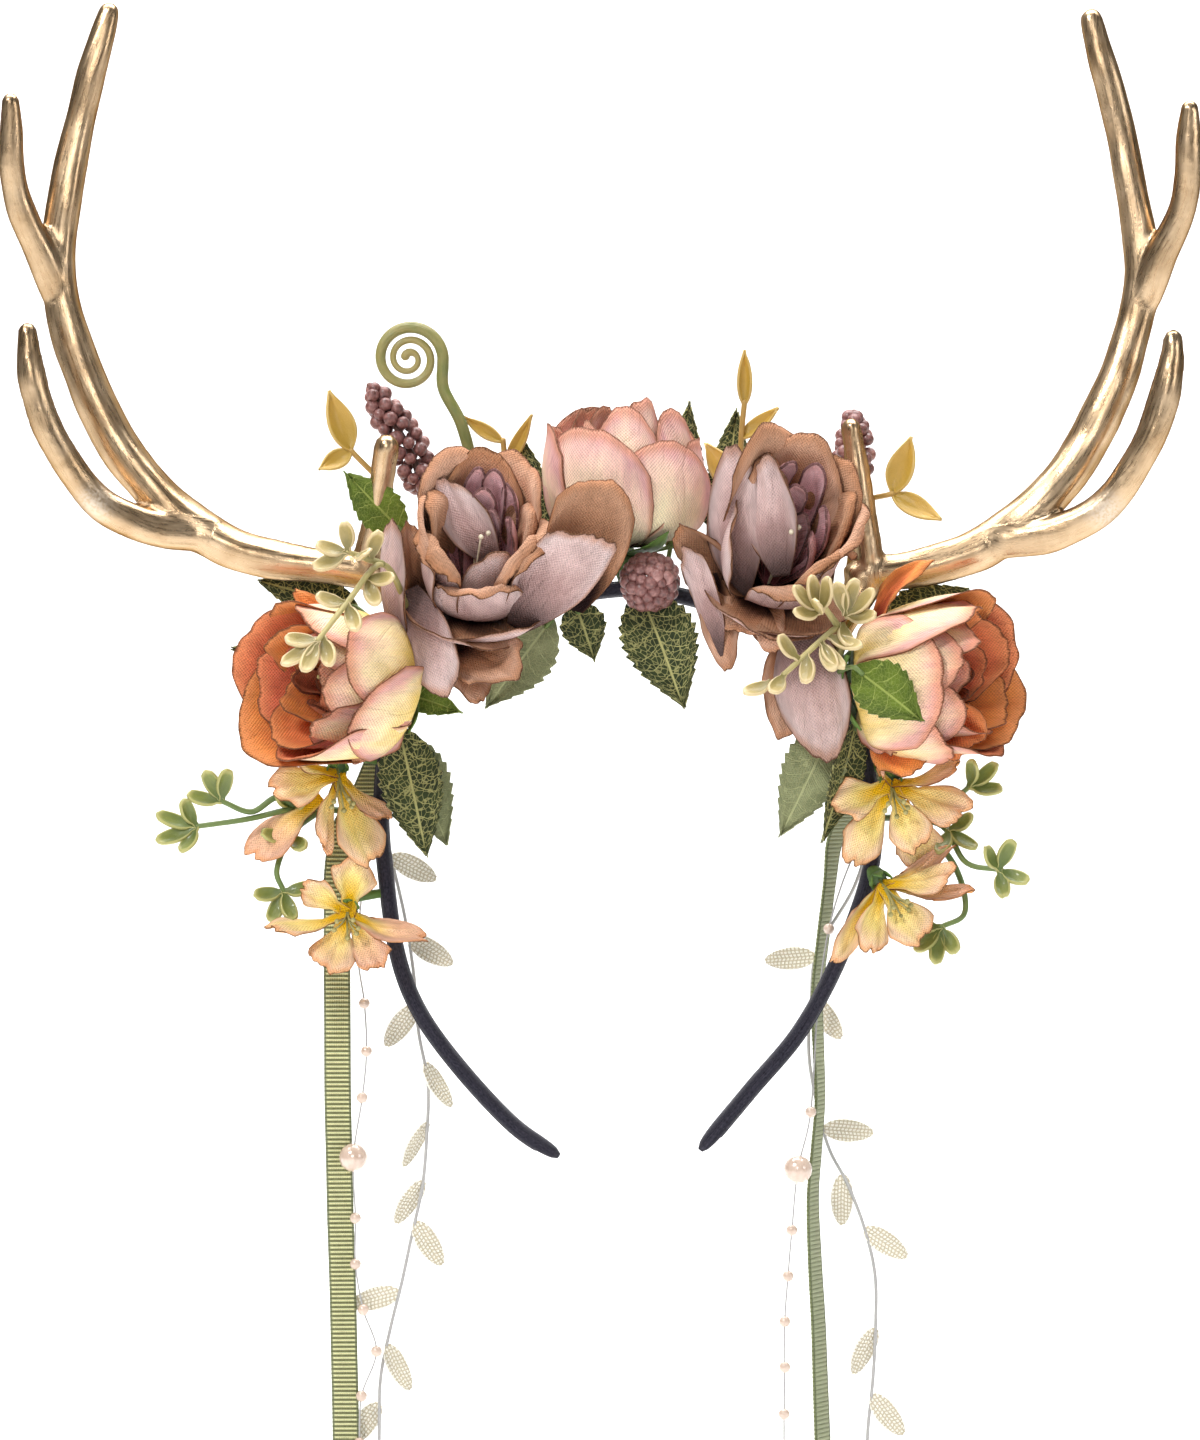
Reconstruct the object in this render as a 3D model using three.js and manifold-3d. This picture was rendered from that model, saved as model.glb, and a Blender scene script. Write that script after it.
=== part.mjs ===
// Floral antler headband: a satin covered band that carries two gilt antlers, silk flowers and
// leaves, moulded sprigs, and hanging ribbons, bead strings and leaf trims.
// Millimetres, +Z up, the front faces -Y. The origin is the inner face of the band at the crown.

import * as THREE from 'three';
import { mergeVertices } from 'three/addons/utils/BufferGeometryUtils.js';
import Module from 'manifold-3d';

const wasm = await Module();
wasm.setup();

// Driving sizes
const GAP = 0.4; // clearance that neighbouring pieces keep
const BAND_WIDTH = 10; // front to back
const BAND_THICKNESS = 4.2;
const ANTLER_MIRROR_X = -7.84; // the antlers are centred a little left of the band
const ANTLER_RIGHT_DROP = 2; // the right antler sits lower by this much
const PETAL_THICKNESS = 1;
const LEAF_THICKNESS = 1;
const SPRIG_THICKNESS = 1.1;
const STEM_RADIUS = 1;
const FERN_RADIUS = 1.5;
const BERRY_RADIUS = 2;
const RIBBON_WIDTH = 7.5;
const RIBBON_THICKNESS = 1;
const BEAD_RADIUS = 1.6;
const PEARL_RADIUS = 4;
const THREAD_RADIUS = 0.45;
const TRIM_STEM_RADIUS = 0.7;
const TRIM_LEAF_LENGTH = 14;
const TRIM_LEAF_WIDTH = 5.6;

// Fineness of the faceted shapes
const MERGE_DISTANCE = 1e-4;
const SIMPLIFY = 0.12; // before neighbours are cut away
const CLEAN = 0.05; // after
const DIFFERENCE = 1e-3;
const RING_MIDDLE = 2; // radius of the plain ring that a petal ring is bent from

// Materials: colour, roughness, metalness
const LOOKS = {
  band_satin: [0x1c1d2b, 0.45, 0],
  antler_gold: [0xb9945f, 0.35, 0.85],
  petal_mauve: [0xa98784, 0.8, 0],
  petal_peach: [0xe8a98c, 0.8, 0],
  petal_coral: [0xcf7450, 0.8, 0],
  petal_yellow: [0xeebf6c, 0.8, 0],
  calyx_green: [0x46632c, 0.7, 0],
  leaf_green: [0x4c5f38, 0.75, 0],
  sprig_pale: [0xb3a565, 0.5, 0],
  sprig_green: [0x7d8440, 0.5, 0],
  wax_leaf_gold: [0xc09a3c, 0.45, 0],
  berry_plum: [0x8c5c57, 0.55, 0],
  fern_green: [0x6d7a35, 0.5, 0],
  ribbon_sage: [0x8f9d68, 0.6, 0],
  pearl_blush: [0xe3bfa4, 0.25, 0],
  trim_cream: [0xd9cdab, 0.6, 0],
};

// Rows of a table as objects keyed by its column names
function table(columns, ...rows) {
  const names = columns.split(' ');
  return rows.map((row) => Object.fromEntries(names.map((name, i) => [name, row[i]])));
}

const vec = (x, y, z) => new THREE.Vector3(x, y, z);
const radians = THREE.MathUtils.degToRad;
const FRONT_TO_BACK = vec(0, 1, 0);
const RIGHTWARD = vec(1, 0, 0);
const UPWARD = vec(0, 0, 1);

// The part of a direction that is square to another one
function squareTo(direction, other) {
  const along = direction.dot(other) / other.lengthSq();
  return direction.clone().addScaledVector(other, -along).normalize();
}

// A point on a curve, carried on straight past its ends
function pointOn(curve, t) {
  const inside = THREE.MathUtils.clamp(t, 0, 1);
  return curve.getPoint(inside).addScaledVector(curve.getTangent(inside), (t - inside) * curve.getLength());
}

// A closed geometry whose vertices are moved by a map, as a solid
function bentSolid(geometry, map = (x, y, z) => vec(x, y, z)) {
  const positions = geometry.attributes.position;
  for (let i = 0; i < positions.count; i += 1) {
    const moved = map(positions.getX(i), positions.getY(i), positions.getZ(i));
    positions.setXYZ(i, moved.x, moved.y, moved.z);
  }
  geometry.deleteAttribute('normal');
  geometry.deleteAttribute('uv');
  const merged = mergeVertices(geometry, MERGE_DISTANCE);
  return new wasm.Manifold(new wasm.Mesh({
    numProp: 3,
    vertProperties: merged.attributes.position.array,
    triVerts: Uint32Array.from(merged.index.array),
  }));
}

const joined = (solids) => wasm.Manifold.union(solids);

// A rod along a smooth curve through rows of x, y, z and radius r.
// The radius runs along side; depth scales it the other way. grow swells the rod all round.
function rod(rows, { sides = 6, steps = rows.length - 1, side = FRONT_TO_BACK, depth = 1, grow = 0 } = {}) {
  const curve = new THREE.CatmullRomCurve3(rows.map((row) => vec(row.x, row.y, row.z)));
  const radiusAt = (t) => {
    const place = t * (rows.length - 1);
    const low = Math.min(Math.floor(place), rows.length - 2);
    return THREE.MathUtils.lerp(rows[low].r, rows[low + 1].r, place - low);
  };
  return bentSolid(new THREE.CylinderGeometry(1, 1, 1, sides, steps), (x, y, z) => {
    const t = y + 0.5;
    const tangent = curve.getTangent(t);
    const first = squareTo(side, tangent);
    const second = first.clone().cross(tangent);
    const radius = radiusAt(t);
    const isEnd = t === 0 || t === 1;
    return curve.getPoint(t)
      .addScaledVector(first, x * (radius + grow))
      .addScaledVector(second, z * (radius * depth + grow))
      .addScaledVector(tangent, isEnd ? Math.sign(y) * grow : 0);
  });
}

function ball({ x, y, z }, radius, detail = 0) {
  return bentSolid(new THREE.IcosahedronGeometry(radius, detail).translate(x, y, z));
}

// A place off surface(u, v) by a distance square to it
function offSurface(surface, u, v, distance) {
  const sideways = surface(u + DIFFERENCE, v).sub(surface(u - DIFFERENCE, v));
  const lengthways = surface(u, v + DIFFERENCE).sub(surface(u, v - DIFFERENCE));
  return surface(u, v).addScaledVector(sideways.cross(lengthways).normalize(), distance);
}

// A thin closed wall about surface(u, v), with u from -1 to 1 across it and v from 0 to 1 along it
function wall(surface, { across, along, thickness, grow = 0 }) {
  const halfWidth = surface(1, 0.5).distanceTo(surface(-1, 0.5)) / 2;
  const length = surface(0, 1).distanceTo(surface(0, 0));
  const geometry = new THREE.BoxGeometry(2, 1, thickness + 2 * grow, across, along, 1);
  return bentSolid(geometry, (x, y, z) => {
    const v = 0.5 + y * (1 + 2 * grow / length);
    return offSurface(surface, x * (1 + grow / halfWidth), v, z);
  });
}

// A thin closed wall right round an axis about surface(turn, v), with v from 0 at its foot to 1 at its rim
function ringWall(surface, { around, along, thickness, grow = 0 }) {
  const length = surface(0, 1).distanceTo(surface(0, 0));
  const rimV = 1 + grow / length;
  const upward = Array.from({ length: along + 1 }, (_, i) => i / along);
  const outer = upward.map((v) => new THREE.Vector2(RING_MIDDLE + 1, v));
  const inner = upward.toReversed().map((v) => new THREE.Vector2(RING_MIDDLE - 1, v));
  const geometry = new THREE.LatheGeometry([...outer, ...inner, outer[0]], around);
  return bentSolid(geometry, (x, y, z) => {
    const side = Math.hypot(x, z) > RING_MIDDLE ? 1 : -1;
    return offSurface(surface, Math.atan2(x, z), y * rimV, side * (thickness / 2 + grow));
  });
}

// Half width along a petal: a narrow claw that swells to full width and stays broad to the tip
function petalOutline(v) {
  const claw = 0.28;
  const fullAt = 0.6;
  const tip = 0.82;
  const swell = Math.sin(Math.PI / 2 * THREE.MathUtils.clamp(v / fullAt, 0, 1));
  const past = THREE.MathUtils.clamp((v - fullAt) / (1 - fullAt), 0, 1);
  return (claw + (1 - claw) * swell) * (1 - (1 - tip) * past * past);
}

// Half width along a leaf: pointed at both ends and widest below the middle
function leafOutline(v) {
  const point = 0.12;
  return point + (1 - point) * Math.sin(Math.PI * THREE.MathUtils.clamp(v, 0, 1) ** 0.8);
}

// Half width along a leaf on a stalk: the stalk takes the first third
function stalkedLeafOutline(v) {
  const stalk = 1 / 3;
  return v < stalk ? leafOutline(0) * 1.5 : leafOutline((v - stalk) / (1 - stalk));
}

// A blade along a smooth curve through points. face is the way its hollow side looks, wrap the angle that
// its width curls through, curl how far its tip rolls back and round how far its corners are rounded off.
function bladeSurface({ points, face, width, outline, wrap = 40, curl = 0, round = 0 }) {
  const spine = new THREE.CatmullRomCurve3(points);
  const chord = points.at(-1).clone().sub(points.at(-2));
  const normal = squareTo(face, chord);
  const side = chord.clone().normalize().cross(normal);
  const arc = radians(wrap) / 2;
  const curlFrom = 0.6;
  return (u, v) => {
    const half = width / 2 * outline(v);
    const t = v * (1 - round * Math.min(Math.abs(u), 1) ** CORNER_POWER);
    const rolled = Math.max(0, (t - curlFrom) / (1 - curlFrom));
    return pointOn(spine, t)
      .addScaledVector(side, half * Math.sin(arc * u) / arc)
      .addScaledVector(normal, half * (1 - Math.cos(arc * u)) / arc - curl * rolled * rolled);
  };
}

// Band: its middle line from the left end over the crown to the right end

const BAND_LINE = table('x z',
  [-19.3, -156.5], [-32.2, -147.6], [-47.6, -131], [-58.5, -115.6], [-64.4, -100], [-67.5, -79.2],
  [-68.9, -59.6], [-66.6, -38.6], [-56.8, -21], [-35, -6.4], [0, BAND_THICKNESS / 2], [35, -6.4],
  [55.4, -21], [64.4, -38.6], [68.3, -59.6], [67.8, -76], [59.4, -100.2], [48.2, -121.2],
  [34.4, -137.8], [20.2, -154.8]);
const BAND_END_SCALE = 0.5;

const bandRows = BAND_LINE.map(({ x, z }, i) => {
  const isEnd = i === 0 || i === BAND_LINE.length - 1;
  return { x, y: 0, z, r: BAND_WIDTH / 2 * (isEnd ? BAND_END_SCALE : 1) };
});
const bandCurve = new THREE.CatmullRomCurve3(bandRows.map(({ x, y, z }) => vec(x, y, z)));
const bandPoints = bandCurve.getPoints(200);

// The point of the band's middle line that is nearest to a place
function bandPointNear(place) {
  const near = bandPoints.reduce((best, p) => (p.distanceTo(place) < best.distanceTo(place) ? p : best));
  return near.clone();
}

function headband(grow) {
  return rod(bandRows, { sides: 8, steps: 30, depth: BAND_THICKNESS / BAND_WIDTH, grow });
}

// Antlers: the left one, with the root and brow tine of the right one given apart

const LEFT_ROOT = table('x y z r',
  [-54.5, 0, -17, 4.4], [-58.8, 0, -4.2, 4.6], [-68, 0, 4.8, 4.7]);
const RIGHT_ROOT = table('x y z r',
  [54, 0, -18, 4.4], [59.4, 0, -6.4, 4.6], [66, 0, 3, 4.7]);
const BEAM = table('x y z r',
  [-80.6, 0, 7.8, 4.6], [-98.3, 1, 10.6, 5.2], [-114, 1, 14, 6], [-126, 2, 20.2, 6.3],
  [-132.2, 2, 31.4, 5.9], [-138, 3, 36.1, 5.7], [-145.9, 4, 48.7, 5.5], [-152.6, 4, 63.3, 5.4],
  [-157.1, 5, 75.6, 5.2], [-159.9, 5, 87.4, 4.8], [-160.7, 5, 98.6, 4.8], [-158.5, 4, 111.2, 4.3],
  [-154.3, 4, 130.8, 4], [-150.4, 3, 146.2, 3.5], [-147, 2, 158.8, 2.8], [-145, 2, 165.8, 2]);
const UPPER_TINE = table('x y z r',
  [-160.4, 4, 93.8, 4.4], [-164.6, 0, 100.5, 3.9], [-168.3, -3, 107.8, 3.4], [-170.8, -6, 116.8, 3.1],
  [-171.6, -9, 126.8, 2.9], [-171.4, -11, 135.5, 2.3], [-171.4, -12, 139.2, 1.2]);
const LOWER_TINE = table('x y z r',
  [-122.6, 1, 18.8, 5], [-133.8, -2, 22.4, 4.9], [-142.8, -5, 25.2, 4.5], [-150, -8, 30.8, 4.3],
  [-155.7, -10, 38.1, 4], [-160.4, -12, 46.5, 3.5], [-163.5, -13, 56.6, 3.2], [-165.5, -14, 66.9, 2.8],
  [-166, -14, 74.5, 2.1]);
const LEFT_BROW = table('x y z r', [-73.6, 0, 7, 4], [-70, -6, 24.4, 3.8], [-66.9, -14, 41.2, 3.4]);
const RIGHT_BROW = table('x y z r', [68.3, 0, 6.2, 4], [65.5, -3, 24.4, 3.8], [62.2, -6, 46.8, 3.2]);

function mirrored(rows) {
  return rows.map((row) => ({ ...row, x: 2 * ANTLER_MIRROR_X - row.x, z: row.z - ANTLER_RIGHT_DROP }));
}

function antler(root, brow, place) {
  const limbs = [[...root, ...place(BEAM)], place(UPPER_TINE), place(LOWER_TINE), brow];
  return (grow) => joined(limbs.map((rows) => rod(rows, { sides: 7, grow })));
}

// Flowers

// Petal profiles: four points of radius and height, as shares of the flower's radius and length
const PROFILES = table('name radii heights',
  ['heart', [0.24, 0.44, 0.4, 0.08], [0, 0.18, 0.6, 0.86]],
  ['inner', [0.08, 0.62, 0.72, 0.56], [0.02, 0.26, 0.62, 0.95]],
  ['cup', [0.1, 0.82, 1, 1.04], [0, 0.2, 0.58, 0.98]],
  ['trumpet', [0.12, 0.2, 0.55, 1], [0, 0.45, 0.85, 1]],
  ['spoon', [0.22, 0.3, 0.65, 1], [0, 0.3, 0.7, 1]]);

// Rings of petals in each kind of flower, with how deep the notches between petals are
const RING_COLUMNS = 'profile petals turn height notch along';
const RINGS = {
  rose: table(RING_COLUMNS, ['inner', 3, 90, 0.95, 0.3, 2], ['cup', 4, 50, 1, 0.3, 3]),
  peony: table(RING_COLUMNS, ['inner', 3, 70, 0.92, 0.3, 2], ['cup', 5, 18, 1, 0.25, 3]),
  blossom: table(RING_COLUMNS, ['trumpet', 5, 20, 1, 0.5, 3]),
  rosette: table(RING_COLUMNS, ['spoon', 4, 45, 1, 0.6, 2]),
};
const PETAL_SKEW = 0.06; // one edge of each petal lies inside its neighbour
const PETAL_ROUND = 0.32; // how far a loose petal's corners are rounded off
const CORNER_POWER = 2.2;
const RING_STEPS_PER_PETAL = 3;

const FLOWERS = table('name kind slot x y z ax ay az radius length spin',
  ['rose_left', 'rose', 'petal_mauve', -44.8, -9, -3.6, 0.25, -0.6, 0.76, 19, 42, 0],
  ['rose_right', 'rose', 'petal_mauve', 38.4, -9, 2, 0.235, -0.69, 0.67, 19, 40, 40],
  ['peony_top', 'peony', 'petal_peach', 2, -6, 14, 0.1, -0.25, 0.96, 23, 38, 0],
  ['peony_left', 'peony', 'petal_coral', -64, -7, -26, -0.8, -0.6, 0.07, 23, 40, 20],
  ['peony_right', 'peony', 'petal_coral', 64.4, -7, -26, 0.61, -0.75, 0.24, 23, 42, 50],
  ['blossom_left_upper', 'blossom', 'petal_yellow', -81, -6, -47, 0.15, -0.55, -0.82, 19, 16, 0],
  ['blossom_left_lower', 'blossom', 'petal_yellow', -78, -7, -86, 0, -0.85, -0.5, 21, 13, 30],
  ['blossom_right_upper', 'blossom', 'petal_yellow', 73, -7, -49, 0.1, -0.7, -0.7, 20, 15, 10],
  ['blossom_right_lower', 'blossom', 'petal_yellow', 70, -6, -79, 0.45, -0.6, -0.65, 20, 16, 12]);

// Loose outer petals, from their flower's base to a tip, with the way that their hollow side looks
const LOOSE_PETALS = table('flower x y z fx fy fz width wrap sag curl',
  ['rose_left', -63.5, -16, 21, 0.8, -0.35, 0.4, 28, 110, 8, 4],
  ['rose_left', -44.5, -24, -29.4, 0.3, 0.8, 0.5, 28, 60, 2, 0],
  ['rose_left', -30, -17, -25.5, 0.2, -0.9, 0.3, 24, 40, 2, 2],
  ['rose_left', 0, -13, 15, -0.1, -0.95, 0.25, 28, 50, 6, 4],
  ['rose_left', -7, -25, 11, -0.2, 0.75, 0.6, 24, 70, 5, 0],
  ['rose_right', 10, -20, 17, 0, -0.7, 0.7, 30, 110, 8, 3],
  ['rose_right', 27, -22, -14, 0.2, -0.9, 0.2, 22, 60, 3, 2],
  ['rose_right', 55, -20, -46, 0.1, 0.9, 0.2, 28, 60, 3, 0],
  ['rose_right', 62, -20, 17, -0.5, -0.8, 0.2, 24, 60, 6, 3],
  ['peony_left', -75.6, -18, -44, 0.2, 0.8, 0.5, 22, 60, 3, 0],
  ['peony_right', 81.8, -16, 9, -0.3, -0.5, 0.8, 12, 80, 0, 3],
  ['peony_right', 76, -22, -48, 0, -0.9, 0.3, 22, 50, 3, 0]);

function flowerFrame(flower) {
  const axis = vec(flower.ax, flower.ay, flower.az).normalize();
  const right = squareTo(RIGHTWARD, axis);
  const back = axis.clone().cross(right);
  return { base: vec(flower.x, flower.y, flower.z), axis, right, back };
}

// A ring of petals round a flower's axis, as one surface with a notch between neighbours
function ringSurface(flower, ring) {
  const { base, axis, right, back } = flowerFrame(flower);
  const { radii, heights } = PROFILES.find(({ name }) => name === ring.profile);
  const height = flower.length * ring.height;
  const profile = radii.map((r, i) => vec(r * flower.radius, heights[i] * height, 0));
  const spine = new THREE.CatmullRomCurve3(profile);
  const start = radians(flower.spin + ring.turn);
  return (turn, v) => {
    const petalTurn = turn * ring.petals;
    const fromNotch = Math.abs(Math.sin(petalTurn / 2));
    const spot = pointOn(spine, v * (1 - ring.notch * (1 - fromNotch)));
    const radius = spot.x * (1 + PETAL_SKEW * Math.sin(petalTurn));
    return base.clone()
      .addScaledVector(right, radius * Math.cos(turn + start))
      .addScaledVector(back, radius * Math.sin(turn + start))
      .addScaledVector(axis, spot.y);
  };
}

function petalRings(flower, thickness, grow) {
  return RINGS[flower.kind].map((ring) => ringWall(ringSurface(flower, ring), {
    around: ring.petals * RING_STEPS_PER_PETAL, along: ring.along, thickness, grow,
  }));
}

function loosePetal(flower, petal, grow) {
  const from = vec(flower.x, flower.y, flower.z);
  const to = vec(petal.x, petal.y, petal.z);
  const face = vec(petal.fx, petal.fy, petal.fz);
  const middle = from.clone().lerp(to, 0.5).addScaledVector(squareTo(face, to.clone().sub(from)), -petal.sag);
  const surface = bladeSurface({
    points: [from, middle, to],
    face,
    width: petal.width,
    wrap: petal.wrap,
    curl: petal.curl,
    outline: petalOutline,
    round: PETAL_ROUND,
  });
  return wall(surface, { across: 3, along: 2, thickness: PETAL_THICKNESS, grow });
}

// The closed bud in the middle of a flower, which the rings of petals grow from
function heart(flower, grow) {
  const { base, axis } = flowerFrame(flower);
  const { radii, heights } = PROFILES.find(({ name }) => name === 'heart');
  const rows = radii.map((r, i) => {
    const place = base.clone().addScaledVector(axis, heights[i] * flower.length);
    return { x: place.x, y: place.y, z: place.z, r: flower.radius * r };
  });
  return rod(rows, { side: RIGHTWARD, grow });
}

function flower(row) {
  const loose = LOOSE_PETALS.filter((petal) => petal.flower === row.name);
  const isOpen = row.kind === 'blossom';
  return (grow) => joined([
    ...(isOpen ? [] : [heart(row, grow)]),
    ...petalRings(row, PETAL_THICKNESS, grow),
    ...loose.map((petal) => loosePetal(row, petal, grow)),
  ]);
}

// The green cup under a flower, with a stem that runs to the band
function calyx(row) {
  const { base, axis } = flowerFrame(row);
  const isBlossom = row.kind === 'blossom';
  const cupDepth = isBlossom ? 5 : 4;
  const cupRadius = isBlossom ? 2.6 : 5;
  const rim = base.clone().addScaledVector(axis, isBlossom ? -0.6 : -2);
  const foot = rim.clone().addScaledVector(axis, -cupDepth);
  const root = bandPointNear(foot);
  const bend = foot.clone().lerp(root, 0.5);
  const stemRadius = STEM_RADIUS * 1.4;
  const rows = [[rim, cupRadius], [foot, cupRadius * 0.6], [bend, stemRadius], [root, stemRadius]]
    .map(([p, r]) => ({ x: p.x, y: p.y, z: p.z, r }));
  return (grow) => rod(rows, { steps: 4, side: UPWARD, grow });
}

// Leaves: each blade with a stalk that runs to the band

const LEAVES = table('name x y z tipx tipy tipz fx fy fz width sag',
  ['leaf_centre', 3, -7, 2, 15.4, -14, -30.5, 0.1, -1, 0.1, 21, -2],
  ['leaf_centre_small', -14.8, -7.5, -1.5, -9.5, -9, -17.4, 0, -1, 0.1, 12.6, -1],
  ['leaf_rose_pale', -21, -8, -6, -39.2, -9.5, -30.5, 0, -1, 0.1, 17, -1],
  ['leaf_left_front', -63.8, -9, -36, -56, -12, -71.7, 0.1, -1, 0, 17.4, -2],
  ['leaf_left_back', -63, -6.5, -38, -50.5, -8, -69, 0.1, -1, 0, 16, -1],
  ['leaf_left_bright', -62, -8, -27, -47, -9, -32, 0, -1, 0.2, 8, -1],
  ['leaf_left_rolled', -62, -8, 17, -78.4, -10, 34.2, -0.2, -1, 0.2, 12.6, -2],
  ['leaf_left_outer', -76, 7, -3, -104, 7, 4.8, 0, -1, 0.2, 13, -1],
  ['leaf_left_low', -76, 6, -20, -111, 4, -14.3, 0, -1, 0.2, 15, -1],
  ['leaf_right_pale', 58, -8, -34, 42.6, -10, -66, 0, -1, 0, 17, -1],
  ['leaf_right_dark', 64, -9, -34, 54.3, -12, -67.5, 0.7, -0.7, 0, 13, -1],
  ['leaf_right_bright', 58, -28, -21, 78, -36, -34, 0.1, -1, 0.2, 14, -1],
  ['leaf_right_outer', 70.6, 7, -8, 96, 7, 2.5, 0, -1, 0.2, 13, -1],
  ['leaf_top_left', -26, 7, 8, -30.2, 6, 45.4, 0, -1, 0.1, 16, -2],
  ['leaf_top_middle', 12, 13, 14, 17.5, 14.5, 54.9, 0, -1, 0.1, 14, -1],
  ['leaf_top_right', 26, 13, 12, 31, 17.5, 53.8, 0, -1, 0.1, 13, -1]);

function leaf(row) {
  const from = vec(row.x, row.y, row.z);
  const to = vec(row.tipx, row.tipy, row.tipz);
  const face = vec(row.fx, row.fy, row.fz);
  const root = bandPointNear(from);
  const middle = from.clone().lerp(to, 0.5).addScaledVector(squareTo(face, to.clone().sub(from)), -row.sag);
  const surface = bladeSurface({
    points: [root, from, middle, to],
    face,
    width: row.width,
    outline: stalkedLeafOutline,
  });
  return (grow) => wall(surface, { across: 2, along: 6, thickness: LEAF_THICKNESS, grow });
}

// Sprigs: thin branches that end in rosettes of small leaves

const BRANCHES = {
  sprig_pale_left: [
    table('x y z', [-58, 0, -20], [-61, -16, -4], [-67, -36, 8], [-76, -47, -3], [-83.2, -54, -13]),
    table('x y z', [-67, -36, 8], [-76, -42, 11]),
  ],
  sprig_pale_right: [
    table('x y z', [57, 0, -22], [59, -20, -14], [57, -34, -9], [42, -40, -22]),
    table('x y z', [57, -34, -9], [53, -40, -4]),
  ],
  sprig_green_left: [
    table('x y z', [-69, 0, -62], [-80, 4, -60], [-92, 0, -59], [-106, -6, -62], [-120, -8, -64]),
    table('x y z', [-92, 0, -59], [-98, -4, -56], [-105, -6, -60], [-113, -8, -57]),
    table('x y z', [-86, 3, -59.4], [-94, 2, -66], [-98, -4, -76], [-96, -6, -82]),
  ],
  sprig_green_right: [
    table('x y z', [68, 0, -62], [76, 5, -62], [88, 2, -64], [94, -6, -74], [103, -10, -76]),
    table('x y z', [82, 4.4, -62.6], [90, 2, -58], [95, -6, -53]),
    table('x y z', [82, 4.4, -62.6], [92, 3, -76], [94, -4, -88], [87, -8, -92]),
  ],
};

// Rosettes: where they sit, the way they open, how far their leaves spread and how deep they are
const ROSETTES = table('sprig x y z ax ay az radius length',
  ['sprig_pale_left', -76, -42, 11, -0.5, -0.6, 0.6, 7, 5],
  ['sprig_pale_left', -67, -36, 8, 0.3, -0.7, 0.6, 6, 5],
  ['sprig_pale_left', -83.2, -54, -13, -0.4, -0.5, -0.75, 6.5, 7],
  ['sprig_pale_right', 53, -40, -4, -0.4, -0.75, 0.5, 6.5, 7],
  ['sprig_pale_right', 59, -30, -6, 0.4, -0.8, 0.4, 7.5, 5],
  ['sprig_pale_right', 42, -40, -22, -0.8, -0.3, -0.5, 6.5, 6],
  ['sprig_green_left', -120, -8, -64, -0.9, -0.3, 0.1, 7, 6],
  ['sprig_green_left', -113, -8, -57, -0.6, -0.3, 0.7, 6.5, 7],
  ['sprig_green_left', -96, -6, -82, 0.3, -0.4, -0.85, 6.5, 8],
  ['sprig_green_right', 95, -6, -53, 0.6, -0.4, 0.5, 6.5, 7],
  ['sprig_green_right', 103, -10, -76, 0.6, -0.4, 0.6, 7, 8],
  ['sprig_green_right', 87, -8, -92, -0.1, -0.3, -0.95, 6.5, 8]);

function sprig(name) {
  const rosettes = ROSETTES.filter((row) => row.sprig === name)
    .map((row) => ({ ...row, kind: 'rosette', spin: 0 }));
  return (grow) => joined([
    ...BRANCHES[name].map((rows) => rod(rows.map((row) => ({ ...row, r: STEM_RADIUS })), {
      sides: 4, steps: 2 * (rows.length - 1), grow,
    })),
    ...rosettes.flatMap((row) => petalRings(row, SPRIG_THICKNESS, grow)),
  ]);
}

// Berries set in a spiral round a stem

const BERRIES = {
  berry_spike_left: {
    stem: table('x y z', [-50, 0, -16], [-51, 7.5, 2], [-59.6, 5, 37], [-72.5, 4, 59.5]),
    from: 0.62,
    count: 12,
    spread: 3.2,
  },
  berry_spike_right: {
    stem: table('x y z', [56.5, 0, -20], [57, 9, 4], [63, 5, 36], [63.6, 5, 52]),
    from: 0.72,
    count: 10,
    spread: 3.6,
  },
  berry_cluster_centre: {
    stem: table('x y z', [5, 0, 1.5], [5.5, -8, 3], [6.7, -19, 5]),
    from: 0.5,
    count: 14,
    spread: 6,
  },
};
const GOLDEN_TURN = radians(137.5);

function berries({ stem, from, count, spread }) {
  const curve = new THREE.CatmullRomCurve3(stem.map(({ x, y, z }) => vec(x, y, z)));
  return (grow) => {
    const core = rod(stem.map((row) => ({ ...row, r: STEM_RADIUS })), { sides: 4, grow });
    const balls = Array.from({ length: count }, (_, i) => {
      const share = (i + 0.5) / count;
      const t = from + (1 - from) * share;
      const tangent = curve.getTangent(t);
      const first = squareTo(RIGHTWARD, tangent);
      const second = tangent.clone().cross(first);
      const out = spread * Math.sqrt(Math.sin(Math.PI * (0.12 + 0.82 * share)));
      const turn = i * GOLDEN_TURN;
      const place = curve.getPoint(t)
        .addScaledVector(first, out * Math.cos(turn))
        .addScaledVector(second, out * Math.sin(turn));
      return ball(place, BERRY_RADIUS + grow);
    });
    const middle = [from, (1 + from) / 2, 1].map((t) => ({ ...curve.getPoint(t), r: spread * 0.8 }));
    return joined([core, rod(middle, { steps: 2, grow }), ...balls]);
  };
}

// Fern tip: a stem that ends in a flat spiral

const FERN_STEM = table('x y z',
  [-43.5, 0, -10.5], [-43, 3, 10], [-43.5, 1, 34], [-46.5, -2, 48], [-51.5, -2, 58]);
const FERN_CURL = { x: -61.3, y: -2, z: 66.6, radius: 10, turns: 2.5, start: -38, pointsPerTurn: 11 };

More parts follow.
